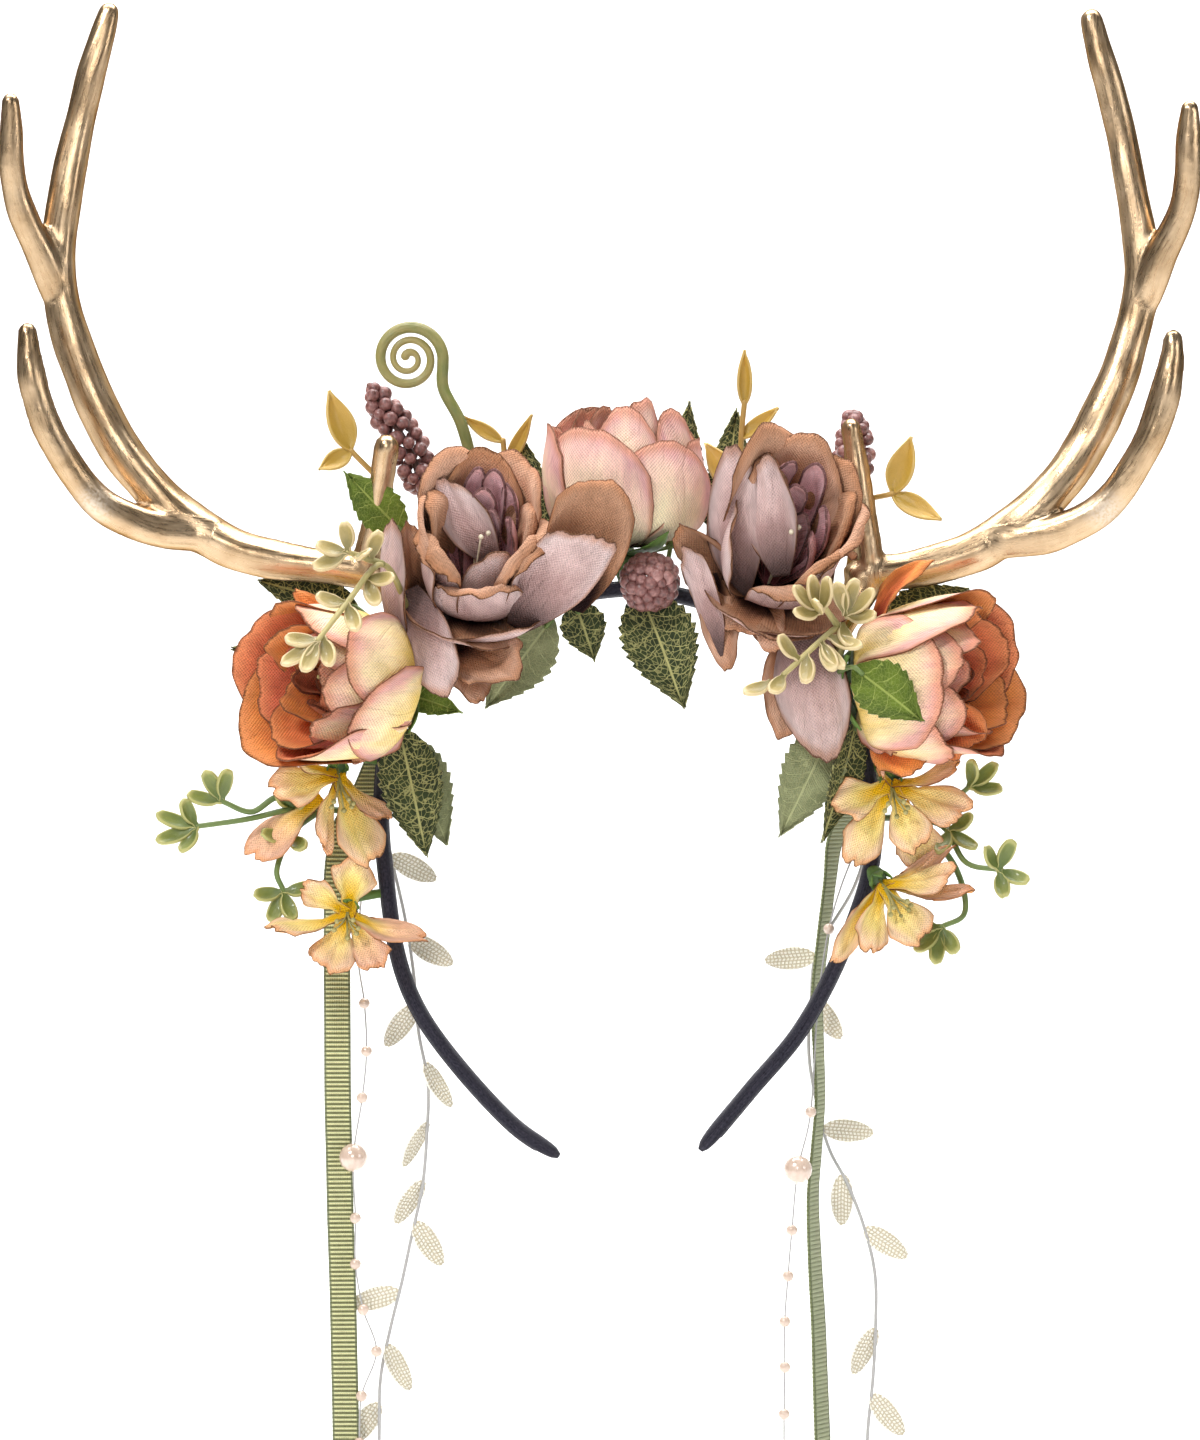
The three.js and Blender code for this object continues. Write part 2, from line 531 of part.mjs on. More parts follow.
function fern(grow) {
  const { x, y, z, radius, turns, start, pointsPerTurn } = FERN_CURL;
  const count = Math.round(turns * pointsPerTurn);
  const spiral = Array.from({ length: count }, (_, i) => {
    const share = (i + 1) / count;
    const angle = radians(start) + 2 * Math.PI * turns * share;
    const reach = radius * (1 - 0.88 * share);
    return {
      x: x + reach * Math.cos(angle),
      y,
      z: z + reach * Math.sin(angle),
      r: FERN_RADIUS * (1 - 0.45 * share),
    };
  });
  const stem = FERN_STEM.map((row) => ({ ...row, r: FERN_RADIUS }));
  return rod([...stem, ...spiral], { sides: 5, grow });
}

// Wax leaves and twigs: stems with a few small leaves at their ends

const WAX_STEMS = {
  wax_leaf_left: table('x y z', [-57, 0, -21], [-57.5, 8, -8], [-62, 9, 12], [-66, 5, 28], [-77.5, 0, 41]),
  wax_leaf_right: table('x y z', [57.5, 0, -22], [60.5, 8.5, -6], [63, 8, 14], [65.5, 5, 26], [74, 0, 29]),
  wax_leaf_top: table('x y z', [33, 0, -5.5], [32.5, 9, 8], [31.5, 9, 30], [32, 6, 46], [32.8, 5, 55]),
  twig_leaf: table('x y z', [-32, 0, -5], [-33, 7.5, 8], [-34, 6, 30], [-35, 2, 44]),
};
const WAX_LEAVES = table('stem x y z tipx tipy tipz fx fy fz width wrap',
  ['wax_leaf_left', -77.5, 0, 41, -83.4, -3, 57.4, 0.3, -0.9, 0.2, 8.4, 70],
  ['wax_leaf_left', -77.5, 0, 41, -86.2, -4, 35.6, 0.2, -0.9, 0.4, 6, 70],
  ['wax_leaf_right', 74, 0, 29, 79, -3, 44.5, -0.3, -0.9, 0.2, 8.4, 70],
  ['wax_leaf_right', 74, 0, 29, 87.4, -4, 21.6, 0, -0.9, 0.4, 7, 70],
  ['wax_leaf_top', 32.8, 5, 54, 32.8, 3, 69.2, 0, -1, 0, 4.6, 120],
  ['wax_leaf_top', 31.5, 6.5, 45, 42, 2, 53.2, -0.2, -0.8, 0.5, 5.4, 70],
  ['wax_leaf_top', 31.3, 9, 30, 22, 13.5, 44, 0, -1, 0, 8, 60],
  ['twig_leaf', -35, 2, 43.6, -46, 0, 50.5, 0, -1, 0.2, 4, 40],
  ['twig_leaf', -34.3, 4.5, 37, -27, 0, 51, 0, -1, 0.2, 4, 40]);

function waxLeaf(name) {
  return (grow) => joined([
    rod(WAX_STEMS[name].map((row) => ({ ...row, r: STEM_RADIUS * 0.8 })), { sides: 4, steps: 6, grow }),
    ...WAX_LEAVES.filter((row) => row.stem === name).map((row) => wall(bladeSurface({
      points: [vec(row.x, row.y, row.z), vec(row.tipx, row.tipy, row.tipz)],
      face: vec(row.fx, row.fy, row.fz),
      width: row.width,
      wrap: row.wrap,
      outline: leafOutline,
    }), { across: 1, along: 3, thickness: SPRIG_THICKNESS, grow })),
  ]);
}

// Hanging trims. Their tops lie against the back of the band and their ends hang free.

const RIBBONS = {
  ribbon_left: table('x y z twist',
    [-70.5, 5.9, -46, 0], [-74, 7.2, -54, 0], [-79.5, 8, -64, 0], [-81.8, 8.5, -76, 0],
    [-82, 8.5, -90, 0], [-82, 8.5, -105, 0], [-81.9, 8.5, -122, 0], [-81.8, 8.5, -140, 2],
    [-81.4, 8.5, -158, 4], [-81, 8.5, -176, 4], [-80.4, 8.5, -194, 3], [-80, 8.5, -212, 2],
    [-79.6, 8.5, -230, 0], [-79.4, 8.5, -245, 0]),
  ribbon_right: table('x y z twist',
    [68.5, 5.9, -48, 0], [64, 8.6, -58, 25], [58.8, 12, -68, 50], [57.2, 13, -80, 62],
    [55.4, 13, -95, 62], [53.6, 13, -112, 64], [54, 13, -128, 66], [54.4, 13, -142, 68],
    [53.4, 13, -156, 66], [52.4, 13, -170, 64], [53, 13, -188, 60], [54, 13, -206, 58],
    [54.6, 13, -224, 56], [55.4, 13, -245, 54]),
};

function ribbon(rows) {
  const curve = new THREE.CatmullRomCurve3(rows.map(({ x, y, z }) => vec(x, y, z)));
  const twists = new THREE.CatmullRomCurve3(rows.map(({ twist }) => vec(twist, 0, 0)));
  const surface = (u, v) => {
    const twist = radians(pointOn(twists, v).x);
    const sideways = vec(Math.cos(twist), Math.sin(twist), 0);
    return pointOn(curve, v).addScaledVector(sideways, u * RIBBON_WIDTH / 2);
  };
  return (grow) => wall(surface, { across: 1, along: 26, thickness: RIBBON_THICKNESS, grow });
}

const BEAD_LINES = {
  left: table('x y z bead',
    [-70.8, 6.1, -60, 0], [-74.5, 7, -80, 0], [-76, 7, -100, 0], [-74.2, 7, -114.2, 1],
    [-73.6, 7, -127.7, 1], [-74.8, 7, -140.8, 1], [-77.3, 7, -157.6, 2], [-76.7, 7, -174.7, 1],
    [-76.7, 7, -187.6, 1], [-74.5, 7, -200.5, 1], [-70.8, 7, -212.2, 1], [-75, 7, -224.8, 1],
    [-75.6, 7, -238, 1], [-75.6, 7, -243, 0]),
  right: table('x y z bead',
    [69, 6, -62, 0], [62, 6.4, -76, 0], [56.6, 6.4, -93.2, 1], [53.5, 6.6, -115, 0],
    [51.5, 7, -144.8, 1], [47.9, 7, -161, 2], [46.2, 7, -178.1, 1], [45.1, 7, -191, 1],
    [44.2, 7, -203.8, 1], [44.2, 7, -216.7, 1], [44, 7, -229.9, 1], [44, 7, -240, 1], [44, 7, -244, 0]),
};
// Values of bead in a row: 0 is bare thread
const SMALL_BEAD = 1;
const LARGE_BEAD = 2;

// The thread of a bead string with its small beads on it
function beadString(rows) {
  return (grow) => joined([
    rod(rows.map((row) => ({ ...row, r: THREAD_RADIUS })), { sides: 4, grow }),
    ...rows.filter(({ bead }) => bead === SMALL_BEAD).map((row) => ball(row, BEAD_RADIUS + grow)),
  ]);
}

function pearl(rows) {
  const place = rows.find(({ bead }) => bead === LARGE_BEAD);
  return (grow) => ball(place, PEARL_RADIUS + grow, 1);
}

const TRIMS = {
  leaf_trim_left: {
    stem: table('x y z',
      [-69.5, 6.1, -58], [-67, 9.5, -72], [-63, 11, -90], [-60.5, 11, -106], [-59.2, 11, -122],
      [-56.5, 11, -137], [-56.8, 11, -152], [-58, 11, -166], [-61, 11, -180], [-64, 11, -194],
      [-67, 11, -206], [-69.8, 11, -220], [-70.2, 11, -234], [-70.2, 11, -244]),
    leaves: table('at lean',
      [0.085, 50], [0.21, 55], [0.32, -35], [0.42, 25], [0.5, -25], [0.575, -20], [0.64, 45],
      [0.745, -60], [0.83, 40], [0.915, -35]),
  },
  leaf_trim_right: {
    stem: table('x y z',
      [68.5, 6.1, -66], [64, 14, -82], [54, 18.5, -100], [52.2, 19, -114], [51.6, 19, -130], [54.4, 19, -146],
      [57.6, 19, -157], [62.4, 18, -166], [67, 16, -178], [70, 14, -191], [70.2, 13, -205], [69.4, 12, -220],
      [68, 12, -234], [67.6, 12, -244]),
    leaves: table('at lean',
      [0.2, -65], [0.285, 40], [0.49, 75], [0.56, -30], [0.65, 40], [0.8, -25], [0.9, 45]),
  },
};

// A cord with woven leaves along it, each leaning out from the cord's way by an angle
function leafTrim({ stem, leaves }) {
  const curve = new THREE.CatmullRomCurve3(stem.map(({ x, y, z }) => vec(x, y, z)));
  return (grow) => joined([
    rod(stem.map((row) => ({ ...row, r: TRIM_STEM_RADIUS })), { sides: 4, steps: 18, grow }),
    ...leaves.map(({ at, lean }) => {
      const from = curve.getPoint(at);
      const along = curve.getTangent(at).applyAxisAngle(FRONT_TO_BACK, radians(-lean));
      return wall(bladeSurface({
        points: [from, from.clone().addScaledVector(along, TRIM_LEAF_LENGTH)],
        face: vec(0, -1, 0),
        width: TRIM_LEAF_WIDTH,
        wrap: 20,
        outline: leafOutline,
      }), { across: 1, along: 2, thickness: LEAF_THICKNESS, grow });
    }),
  ]);
}

// Every piece, in the order in which earlier ones keep their whole shape and later ones give way

const pieces = [
  { name: 'headband', slot: 'band_satin', make: headband },
  { name: 'antler_left', slot: 'antler_gold', make: antler(LEFT_ROOT, LEFT_BROW, (rows) => rows) },
  { name: 'antler_right', slot: 'antler_gold', make: antler(RIGHT_ROOT, RIGHT_BROW, mirrored) },
  ...Object.entries(RIBBONS).map(([name, rows]) => ({ name, slot: 'ribbon_sage', make: ribbon(rows) })),
  ...Object.entries(BEAD_LINES).flatMap(([side, rows]) => [
    { name: `bead_string_${side}`, slot: 'pearl_blush', make: beadString(rows) },
    { name: `pearl_${side}`, slot: 'pearl_blush', make: pearl(rows) },
  ]),
  ...Object.entries(TRIMS).map(([name, trim]) => ({ name, slot: 'trim_cream', make: leafTrim(trim) })),
  ...FLOWERS.map((row) => ({ name: row.name, slot: row.slot, make: flower(row) })),
  ...FLOWERS.map((row) => ({ name: `calyx_${row.name}`, slot: 'calyx_green', make: calyx(row) })),
  { name: 'fern_curl', slot: 'fern_green', make: fern },
  ...Object.entries(BERRIES).map(([name, spike]) => ({ name, slot: 'berry_plum', make: berries(spike) })),
  ...Object.keys(WAX_STEMS).map((name) => ({ name, slot: 'wax_leaf_gold', make: waxLeaf(name) })),
  ...Object.keys(BRANCHES).map((name) => ({
    name, slot: name.includes('pale') ? 'sprig_pale' : 'sprig_green', make: sprig(name),
  })),
  ...LEAVES.map((row) => ({ name: row.name, slot: 'leaf_green', make: leaf(row) })),
];

function boxesMeet(one, other) {
  return [0, 1, 2].every((i) => one.min[i] <= other.max[i] && other.min[i] <= one.max[i]);
}

// The largest body that is left of a piece once its earlier neighbours, swollen by the gap, are cut away
function fitted(piece, swollenNeighbours) {
  const whole = piece.make(0).simplify(SIMPLIFY);
  const near = swollenNeighbours.filter((other) => boxesMeet(whole.boundingBox(), other.boundingBox()));
  const cut = near.reduce((shape, other) => shape.subtract(other), whole);
  const bodies = cut.simplify(CLEAN).decompose();
  return bodies.reduce((best, body) => (body.volume() > best.volume() ? body : best));
}

function meshOf(piece, shape) {
  const { vertProperties, triVerts } = shape.getMesh();
  const geometry = new THREE.BufferGeometry();
  geometry.setAttribute('position', new THREE.BufferAttribute(vertProperties, 3));
  geometry.setIndex(new THREE.BufferAttribute(triVerts, 1));
  geometry.computeVertexNormals();
  const [color, roughness, metalness] = LOOKS[piece.slot];
  const mesh = new THREE.Mesh(geometry, new THREE.MeshStandardMaterial({ color, roughness, metalness }));
  mesh.name = piece.name;
  return mesh;
}

const headpiece = new THREE.Group();
headpiece.name = 'floral_antler_headband';
const swollen = pieces.map((piece) => piece.make(GAP));
pieces.forEach((piece, i) => headpiece.add(meshOf(piece, fitted(piece, swollen.slice(0, i)))));

export default headpiece;
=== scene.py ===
"""Looks of the floral antler headband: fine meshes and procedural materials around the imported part."""

import math
from functools import cached_property
from types import SimpleNamespace

import bpy
import numpy as np
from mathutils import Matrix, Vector, noise


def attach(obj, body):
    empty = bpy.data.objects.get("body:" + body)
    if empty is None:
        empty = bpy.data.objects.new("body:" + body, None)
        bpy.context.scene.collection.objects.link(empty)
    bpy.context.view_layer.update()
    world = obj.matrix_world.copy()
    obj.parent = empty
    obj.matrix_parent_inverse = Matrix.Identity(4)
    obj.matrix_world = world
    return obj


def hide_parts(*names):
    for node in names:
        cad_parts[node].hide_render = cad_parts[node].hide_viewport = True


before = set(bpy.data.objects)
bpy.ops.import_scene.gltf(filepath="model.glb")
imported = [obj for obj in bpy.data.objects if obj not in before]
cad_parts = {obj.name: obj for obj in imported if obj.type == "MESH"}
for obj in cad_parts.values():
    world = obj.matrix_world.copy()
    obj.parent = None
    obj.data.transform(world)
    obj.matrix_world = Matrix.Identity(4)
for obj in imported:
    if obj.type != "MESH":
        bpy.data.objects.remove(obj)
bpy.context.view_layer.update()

# Tables and sizes are in millimetres, in the part's frame, and meshes are made in metres
MM = 0.001
UPWARD = np.array([0.0, 0.0, 1.0])
RIGHTWARD = np.array([1.0, 0.0, 0.0])
BACKWARD = np.array([0.0, 1.0, 0.0])

# Driving sizes, as in the part's source
BAND_WIDTH = 10.0
BAND_THICKNESS = 4.2
ANTLER_MIRROR_X = -7.84
ANTLER_RIGHT_DROP = 2.0
RIBBON_WIDTH = 7.5
BEAD_RADIUS = 1.6
PEARL_RADIUS = 4.0
STEM_RADIUS = 1.0

# Sizes that differ a little from those of the part
FERN_RADIUS = 1.7
BERRY_RADIUS = 1.9
TRIM_LEAF_LENGTH = 14.5
TRIM_LEAF_WIDTH = 6.6

# Thickness of what is thinner than its solid in the part
PETAL_THICKNESS = 0.35
LEAF_THICKNESS = 0.4
SPRIG_THICKNESS = 0.9
RIBBON_THICKNESS = 0.7
THREAD_RADIUS = 0.28
TRIM_STEM_RADIUS = 0.5

# Fineness of the meshes
CURVE_STEPS = 16  # steps between two points that a smooth line goes through
CAP_ANGLES = np.radians([75, 45, 20])  # rings that round the end of a stem
RUMPLE_WAVES = 6
RUMPLE_ACROSS = 2.6  # most waves of an uneven field, in radians for each unit
RUMPLE_ALONG = 4.0
TINY = 1e-9  # gives a normal to a sheet that narrows to a point


def table(columns, *rows):
    """Rows of values as objects with the columns' names."""
    names = columns.split()
    return [SimpleNamespace(**dict(zip(names, row))) for row in rows]


def places(*rows):
    """A table of places."""
    return table("x y z", *rows)


def xyz(row):
    return np.array([row.x, row.y, row.z], dtype=float)


def tip_of(row):
    return np.array([row.tipx, row.tipy, row.tipz], dtype=float)


def face_of(row):
    """The way that the hollow side of a petal or leaf looks."""
    return np.array([row.fx, row.fy, row.fz], dtype=float)


def unit(v):
    return v / np.linalg.norm(v, axis=-1, keepdims=True)


def square_to(direction, other):
    """The part of a direction that is square to another one."""
    other = unit(other)
    return unit(direction - np.sum(direction * other, axis=-1, keepdims=True) * other)


def smoothstep(value, low, high):
    share = np.clip((value - low) / (high - low), 0, 1)
    return share * share * (3 - 2 * share)


def side_of(axis):
    """A main direction that an axis doesn't lie along."""
    return RIGHTWARD if abs(axis[0]) < 0.8 else UPWARD


def travelled(points):
    """The length of a line up to each of its points."""
    steps = np.linalg.norm(np.diff(points, axis=0), axis=1)
    return np.concatenate([[0], np.cumsum(steps)])


def smooth_line(points, count):
    """Points spread evenly along a smooth curve through the given ones.

    Columns past the third, such as a radius, go along with the points.
    """
    points = np.asarray(points, dtype=float)
    ends = np.vstack([2 * points[0] - points[1], points, 2 * points[-1] - points[-2]])
    t = np.linspace(0, 1, CURVE_STEPS, endpoint=False)[:, None]
    stretches = []
    for a, b, c, d in zip(ends, ends[1:], ends[2:], ends[3:]):
        cubic = 3 * (b - c) + d - a
        square = 2 * a - 5 * b + 4 * c - d
        stretches.append(b + 0.5 * t * (c - a + t * (square + t * cubic)))
    fine = np.vstack([*stretches, points[-1:]])
    length = travelled(fine[:, :3])
    even = np.linspace(0, length[-1], count)
    return np.column_stack([np.interp(even, length, column) for column in fine.T])


def route(rows, count, *columns):
    """A smooth line through a table's places, with other columns of the table beside them."""
    return smooth_line([[row.x, row.y, row.z, *(getattr(row, c) for c in columns)] for row in rows], count)


def line_length(points):
    return float(travelled(points)[-1])


def rumple(u, v, seed):
    """A smooth uneven field over u and v, about -1 to 1, the same for the same seed."""
    draw = np.random.default_rng(seed)
    total = np.zeros(np.broadcast(u, v).shape)
    for _ in range(RUMPLE_WAVES):
        across = draw.uniform(-RUMPLE_ACROSS, RUMPLE_ACROSS)
        along = draw.uniform(-RUMPLE_ALONG, RUMPLE_ALONG)
        total += np.sin(across * u + along * v + draw.uniform(0, 2 * math.pi))
    return total / math.sqrt(RUMPLE_WAVES)


class Shape:
    """The growing mesh of one piece.

    Each point carries two vectors for the materials. cloth is millimetres across and along, and a number
    that differs between petals. place is -1 to 1 across, 0 to 1 along, and 0 on a hollow face or 1 on an
    outer one.
    """

    def __init__(self):
        self.points, self.cloth, self.place = [], [], []
        self.faces, self.looks = [], []
        self.look = 0
        self.total = 0

    def add(self, points, cloth, place, faces):
        """Points with their two vectors, and faces that count from the first of them."""
        self.points.append(points.reshape(-1, 3))
        self.cloth.append(cloth.reshape(-1, 3))
        self.place.append(place.reshape(-1, 3))
        for face in faces:
            self.faces.append([self.total + i for i in face])
        self.looks += [self.look] * len(faces)
        self.total += self.points[-1].shape[0]

    def wall(self, middle, u, v, thickness, number=0.0):
        """A thin closed sheet about a grid of points, whose outer face is the one u x v looks out of."""
        rows, columns = middle.shape[:2]
        du = np.gradient(middle, axis=1)
        dv = np.gradient(middle, axis=0)
        normal = unit(np.cross(du, dv) + TINY)
        across = np.cumsum(np.linalg.norm(du, axis=2), axis=1)
        across -= across[:, columns // 2 : columns // 2 + 1]
        along = np.cumsum(np.linalg.norm(dv, axis=2), axis=0)
        cloth = np.dstack([across, along, np.full((rows, columns), number)])
        outer = np.dstack([u, v, np.ones_like(u)])
        inner = np.dstack([u, v, np.zeros_like(u)])
        index = np.arange(rows * columns).reshape(rows, columns)
        corners = [index[:-1, :-1], index[:-1, 1:], index[1:, 1:], index[1:, :-1]]
        quads = np.stack(corners, axis=-1).reshape(-1, 4)
        under = rows * columns
        rim = np.concatenate([index[0, :], index[1:, -1], index[-1, -2::-1], index[-2:0:-1, 0]])
        ahead = np.roll(rim, -1)
        edge = np.stack([rim, rim + under, ahead + under, ahead], axis=-1)
        faces = [*quads.tolist(), *(quads[:, ::-1] + under).tolist(), *edge.tolist()]
        half = thickness / 2
        points = np.stack([middle + half * normal, middle - half * normal])
        self.add(points, np.stack([cloth, cloth]), np.stack([outer, inner]), faces)

    def tube(self, path, radii, sides=10, side=BACKWARD, depth=1.0, power=2.0, number=0.0):
        """A rod along a path. The radius runs along side, and depth scales it the other way."""
        path = np.asarray(path, dtype=float)
        radii = np.broadcast_to(np.asarray(radii, dtype=float), len(path))
        tangent = unit(np.gradient(path, axis=0))
        first = square_to(np.broadcast_to(side, path.shape), tangent)
        second = np.cross(first, tangent)
        angle = np.linspace(0, 2 * math.pi, sides, endpoint=False)
        wide = np.sign(np.cos(angle)) * np.abs(np.cos(angle)) ** (2 / power)
        deep = np.sign(np.sin(angle)) * np.abs(np.sin(angle)) ** (2 / power) * depth
        ring = wide[None, :, None] * first[:, None, :] + deep[None, :, None] * second[:, None, :]
        points = path[:, None, :] + radii[:, None, None] * ring
        shape = (len(path), sides)
        along = np.broadcast_to(travelled(path)[:, None], shape)
        around = np.broadcast_to(angle / math.pi - 1, shape)
        cloth = np.dstack([around * radii[:, None] * math.pi, along, np.full(shape, number)])
        place = np.dstack([around, along / along[-1], np.ones(shape)])
        index = np.arange(points.shape[0] * sides).reshape(shape)
        ahead = np.roll(index, -1, axis=1)
        quads = np.stack([index[:-1], index[1:], ahead[1:], ahead[:-1]], axis=-1).reshape(-1, 4)
        faces = [*quads.tolist(), index[0].tolist(), index[-1, ::-1].tolist()]
        self.add(points, cloth, place, faces)

    def stem(self, path, radii, sides=8):
        """A rod with rounded ends."""
        path = np.asarray(path, dtype=float)
        radii = np.array(np.broadcast_to(np.asarray(radii, dtype=float), len(path)))
        rise = np.sin(CAP_ANGLES)
        shrink = np.cos(CAP_ANGLES)
        head = path[0] + unit(path[0] - path[1]) * radii[0] * rise[:, None]
        tail = path[-1] + unit(path[-1] - path[-2]) * radii[-1] * rise[::-1, None]
        sizes = np.concatenate([radii[0] * shrink, radii, radii[-1] * shrink[::-1]])
        self.tube(np.vstack([head, path, tail]), sizes, sides)

    def ball(self, centre, radius, axis=UPWARD, sides=14, hole=12, number=0.0):
        """A bead whose ends are drilled: hole is the half angle of the drilling, in degrees."""
        turn = np.radians(np.linspace(hole, 180 - hole, sides // 2 + 2))
        path = np.asarray(centre) - unit(np.asarray(axis, dtype=float)) * radius * np.cos(turn)[:, None]
        self.tube(path, radius * np.sin(turn), sides, side=side_of(axis), number=number)


def keep_values(mesh, label, values):
    """A vector for each point of a mesh, under a label that materials read."""
    layer = mesh.attributes.new(label, "FLOAT_VECTOR", "POINT")
    layer.data.foreach_set("vector", values.astype("float32").ravel())


def show(name, mesh, slot, *nodes):
    """The object of a mesh, which rides on the part and stands for the named nodes."""
    mesh.shade_smooth()
    mesh.update()
    piece = bpy.data.objects.new(name, mesh)
    bpy.context.scene.collection.objects.link(piece)
    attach(piece, "root")
    if nodes:
        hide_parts(*nodes)
    return piece


def make_piece(name, shape, looks, slot, *nodes):
    """The piece of a finished shape, with its materials."""
    mesh = bpy.data.meshes.new(name)
    mesh.from_pydata(np.vstack(shape.points) * MM, [], shape.faces)
    keep_values(mesh, "cloth", np.vstack(shape.cloth))
    keep_values(mesh, "place", np.vstack(shape.place))
    for look in looks:
        mesh.materials.append(look)
    mesh.polygons.foreach_set("material_index", shape.looks)
    return show(name, mesh, slot, *nodes)


# Camera

VIEW_DISTANCE = 1.2
VIEW_HEIGHT = 0.4032  # height that the picture covers at the object
VIEW_CENTRE = (-0.00784, -0.0344)  # X and Z
SENSOR = 36.0


def make_camera():
    """A level camera in front, framed as the photograph is."""
    data = bpy.data.cameras.new("camera")
    data.sensor_width = SENSOR
    data.lens = SENSOR * VIEW_DISTANCE / VIEW_HEIGHT
    camera = bpy.data.objects.new("camera", data)
    camera.location = (VIEW_CENTRE[0], -VIEW_DISTANCE, VIEW_CENTRE[1])
    camera.rotation_euler = (math.radians(90), 0, 0)
    bpy.context.scene.collection.objects.link(camera)
    bpy.context.scene.camera = camera


class Value:
    """A number or colour that the nodes of a material work out."""

    def __init__(self, look, socket):
        self.look = look
        self.socket = socket

    def __add__(self, other):
        return self.look.math("ADD", self, other)

    def __sub__(self, other):
        return self.look.math("SUBTRACT", self, other)

    def __mul__(self, other):
        return self.look.math("MULTIPLY", self, other)

    def __pow__(self, other):
        return self.look.math("POWER", self, other)

    def __abs__(self):
        return self.look.math("ABSOLUTE", self)

    def larger(self, other):
        return self.look.math("MAXIMUM", self, other)


class Look:
    """A node material in the making."""

    def __init__(self, name):
        self.material = bpy.data.materials.new(name)
        self.material.use_nodes = True
        self.tree = self.material.node_tree
        self.shader = self.tree.nodes["Principled BSDF"]

    def put(self, socket, value):
        """Link a worked out value to a socket, or set a plain one."""
        if isinstance(value, Value):
            self.tree.links.new(value.socket, socket)
        elif socket.type == "RGBA":
            socket.default_value = (*value, 1)
        else:
            socket.default_value = value

    def node(self, kind, inputs, output=0, **settings):
        """An output of a new node. Sockets are given by name or number."""
        made = self.tree.nodes.new(f"ShaderNode{kind}")
        for name, setting in settings.items():
            setattr(made, name, setting)
        for key, value in inputs.items():
            self.put(made.inputs[key], value)
        return Value(self, made.outputs[output])

    def math(self, operation, *values):
        return self.node("Math", dict(enumerate(values)), operation=operation)

    def mix(self, share, one, other, blend="MIX"):
        return self.node("Mix", {0: share, 6: one, 7: other}, 2, data_type="RGBA", blend_type=blend)

    def ramp(self, value, *stops):
        """A colour for a value, from stops that each give a place and a colour."""
        made = self.tree.nodes.new("ShaderNodeValToRGB")
        ramp = made.color_ramp
        while len(ramp.elements) < len(stops):
            ramp.elements.new(0.5)
        for element, (place, colour) in zip(ramp.elements, stops):
            element.position = place
            element.color = (*colour, 1)
        self.put(made.inputs[0], value)
        return Value(self, made.outputs[0])

    def between(self, value, low, high, to_low=0.0, to_high=1.0):
        """A smooth step of a value from low to high."""
        numbers = dict(enumerate((value, low, high, to_low, to_high)))
        return self.node("MapRange", numbers, interpolation_type="SMOOTHSTEP")

    def attribute(self, name):
        return self.node("Attribute", {}, "Vector", attribute_name=name)

    @cached_property
    def cloth(self):
        return self.attribute("cloth")

    @cached_property
    def place(self):
        return self.attribute("place")

    def position(self):
        """The place on the object, in millimetres."""
        return self.scaled(self.node("TexCoord", {}, "Object"), 1 / MM, 1 / MM, 1 / MM)

    def split(self, vector):
        made = self.tree.nodes.new("ShaderNodeSeparateXYZ")
        self.put(made.inputs[0], vector)
        return [Value(self, socket) for socket in made.outputs]

    def scaled(self, vector, x, y, z):
        return self.node("VectorMath", {0: vector, 1: (x, y, z)}, operation="MULTIPLY")

    def noise(self, vector, scale=1.0, detail=2.0, rough=0.5):
        inputs = {"Vector": vector, "Scale": scale, "Detail": detail, "Roughness": rough}
        return self.node("TexNoise", inputs)

    def cloth_noise(self, across, along, apart, detail=2.0, rough=0.5):
        """Noise over the cloth, stretched across and along it. apart sets off one petal from the next."""
        return self.noise(self.scaled(self.cloth, across, along, apart), detail=detail, rough=rough)

    def cells(self, vector, scale):
        """Distance from the walls of uneven cells."""
        inputs = {"Vector": vector, "Scale": scale}
        return self.node("TexVoronoi", inputs, "Distance", feature="DISTANCE_TO_EDGE")

    def wave(self, value, pitch):
        """A sine of a length in millimetres, from -1 to 1."""
        return self.math("SINE", value * (2 * math.pi / pitch))

    def weave(self, across, along, pitch):
        """Crossing threads, from -1 to 1."""
        return self.wave(across, pitch) * self.wave(along, pitch)

    def shaded(self, colour, shade):
        """A colour multiplied by a grey value."""
        grey = self.node("CombineColor", {0: shade, 1: shade, 2: shade})
        return self.mix(1.0, colour, grey, "MULTIPLY")

    def bump(self, height, depth):
        """Relief of a height field: depth is in millimetres for a height of 1."""
        self.put(self.shader.inputs["Normal"], self.node("Bump", {"Height": height, "Distance": depth * MM}))

    def done(self, colour, roughness, **sockets):
        """The finished material. Other sockets are named with _ for a space."""
        self.put(self.shader.inputs["Base Color"], colour)
        self.put(self.shader.inputs["Roughness"], roughness)
        for name, value in sockets.items():
            self.put(self.shader.inputs[name.replace("_", " ")], value)
        return self.material


# Materials

OUTER_STOPS = (0.45, 0.76, 1.0)  # where the three colours of a petal's outer face lie, from foot to rim
INNER_STOPS = (0.25, 0.6, 0.95)
BURNT_SHADE = 0.2  # how much of its tint the cut edge of a petal keeps
SILK_WEAVE = 1.0  # pitch of the weave
LEAF_WEAVE = 0.7
SATIN_WEAVE = 0.5
SIDE_VEIN_PITCH = 9.0
LEAF_UNDERSIDE = (0.42, 0.43, 0.27)
RIB_COUNT = 162
RIB_DEPTH = 0.35


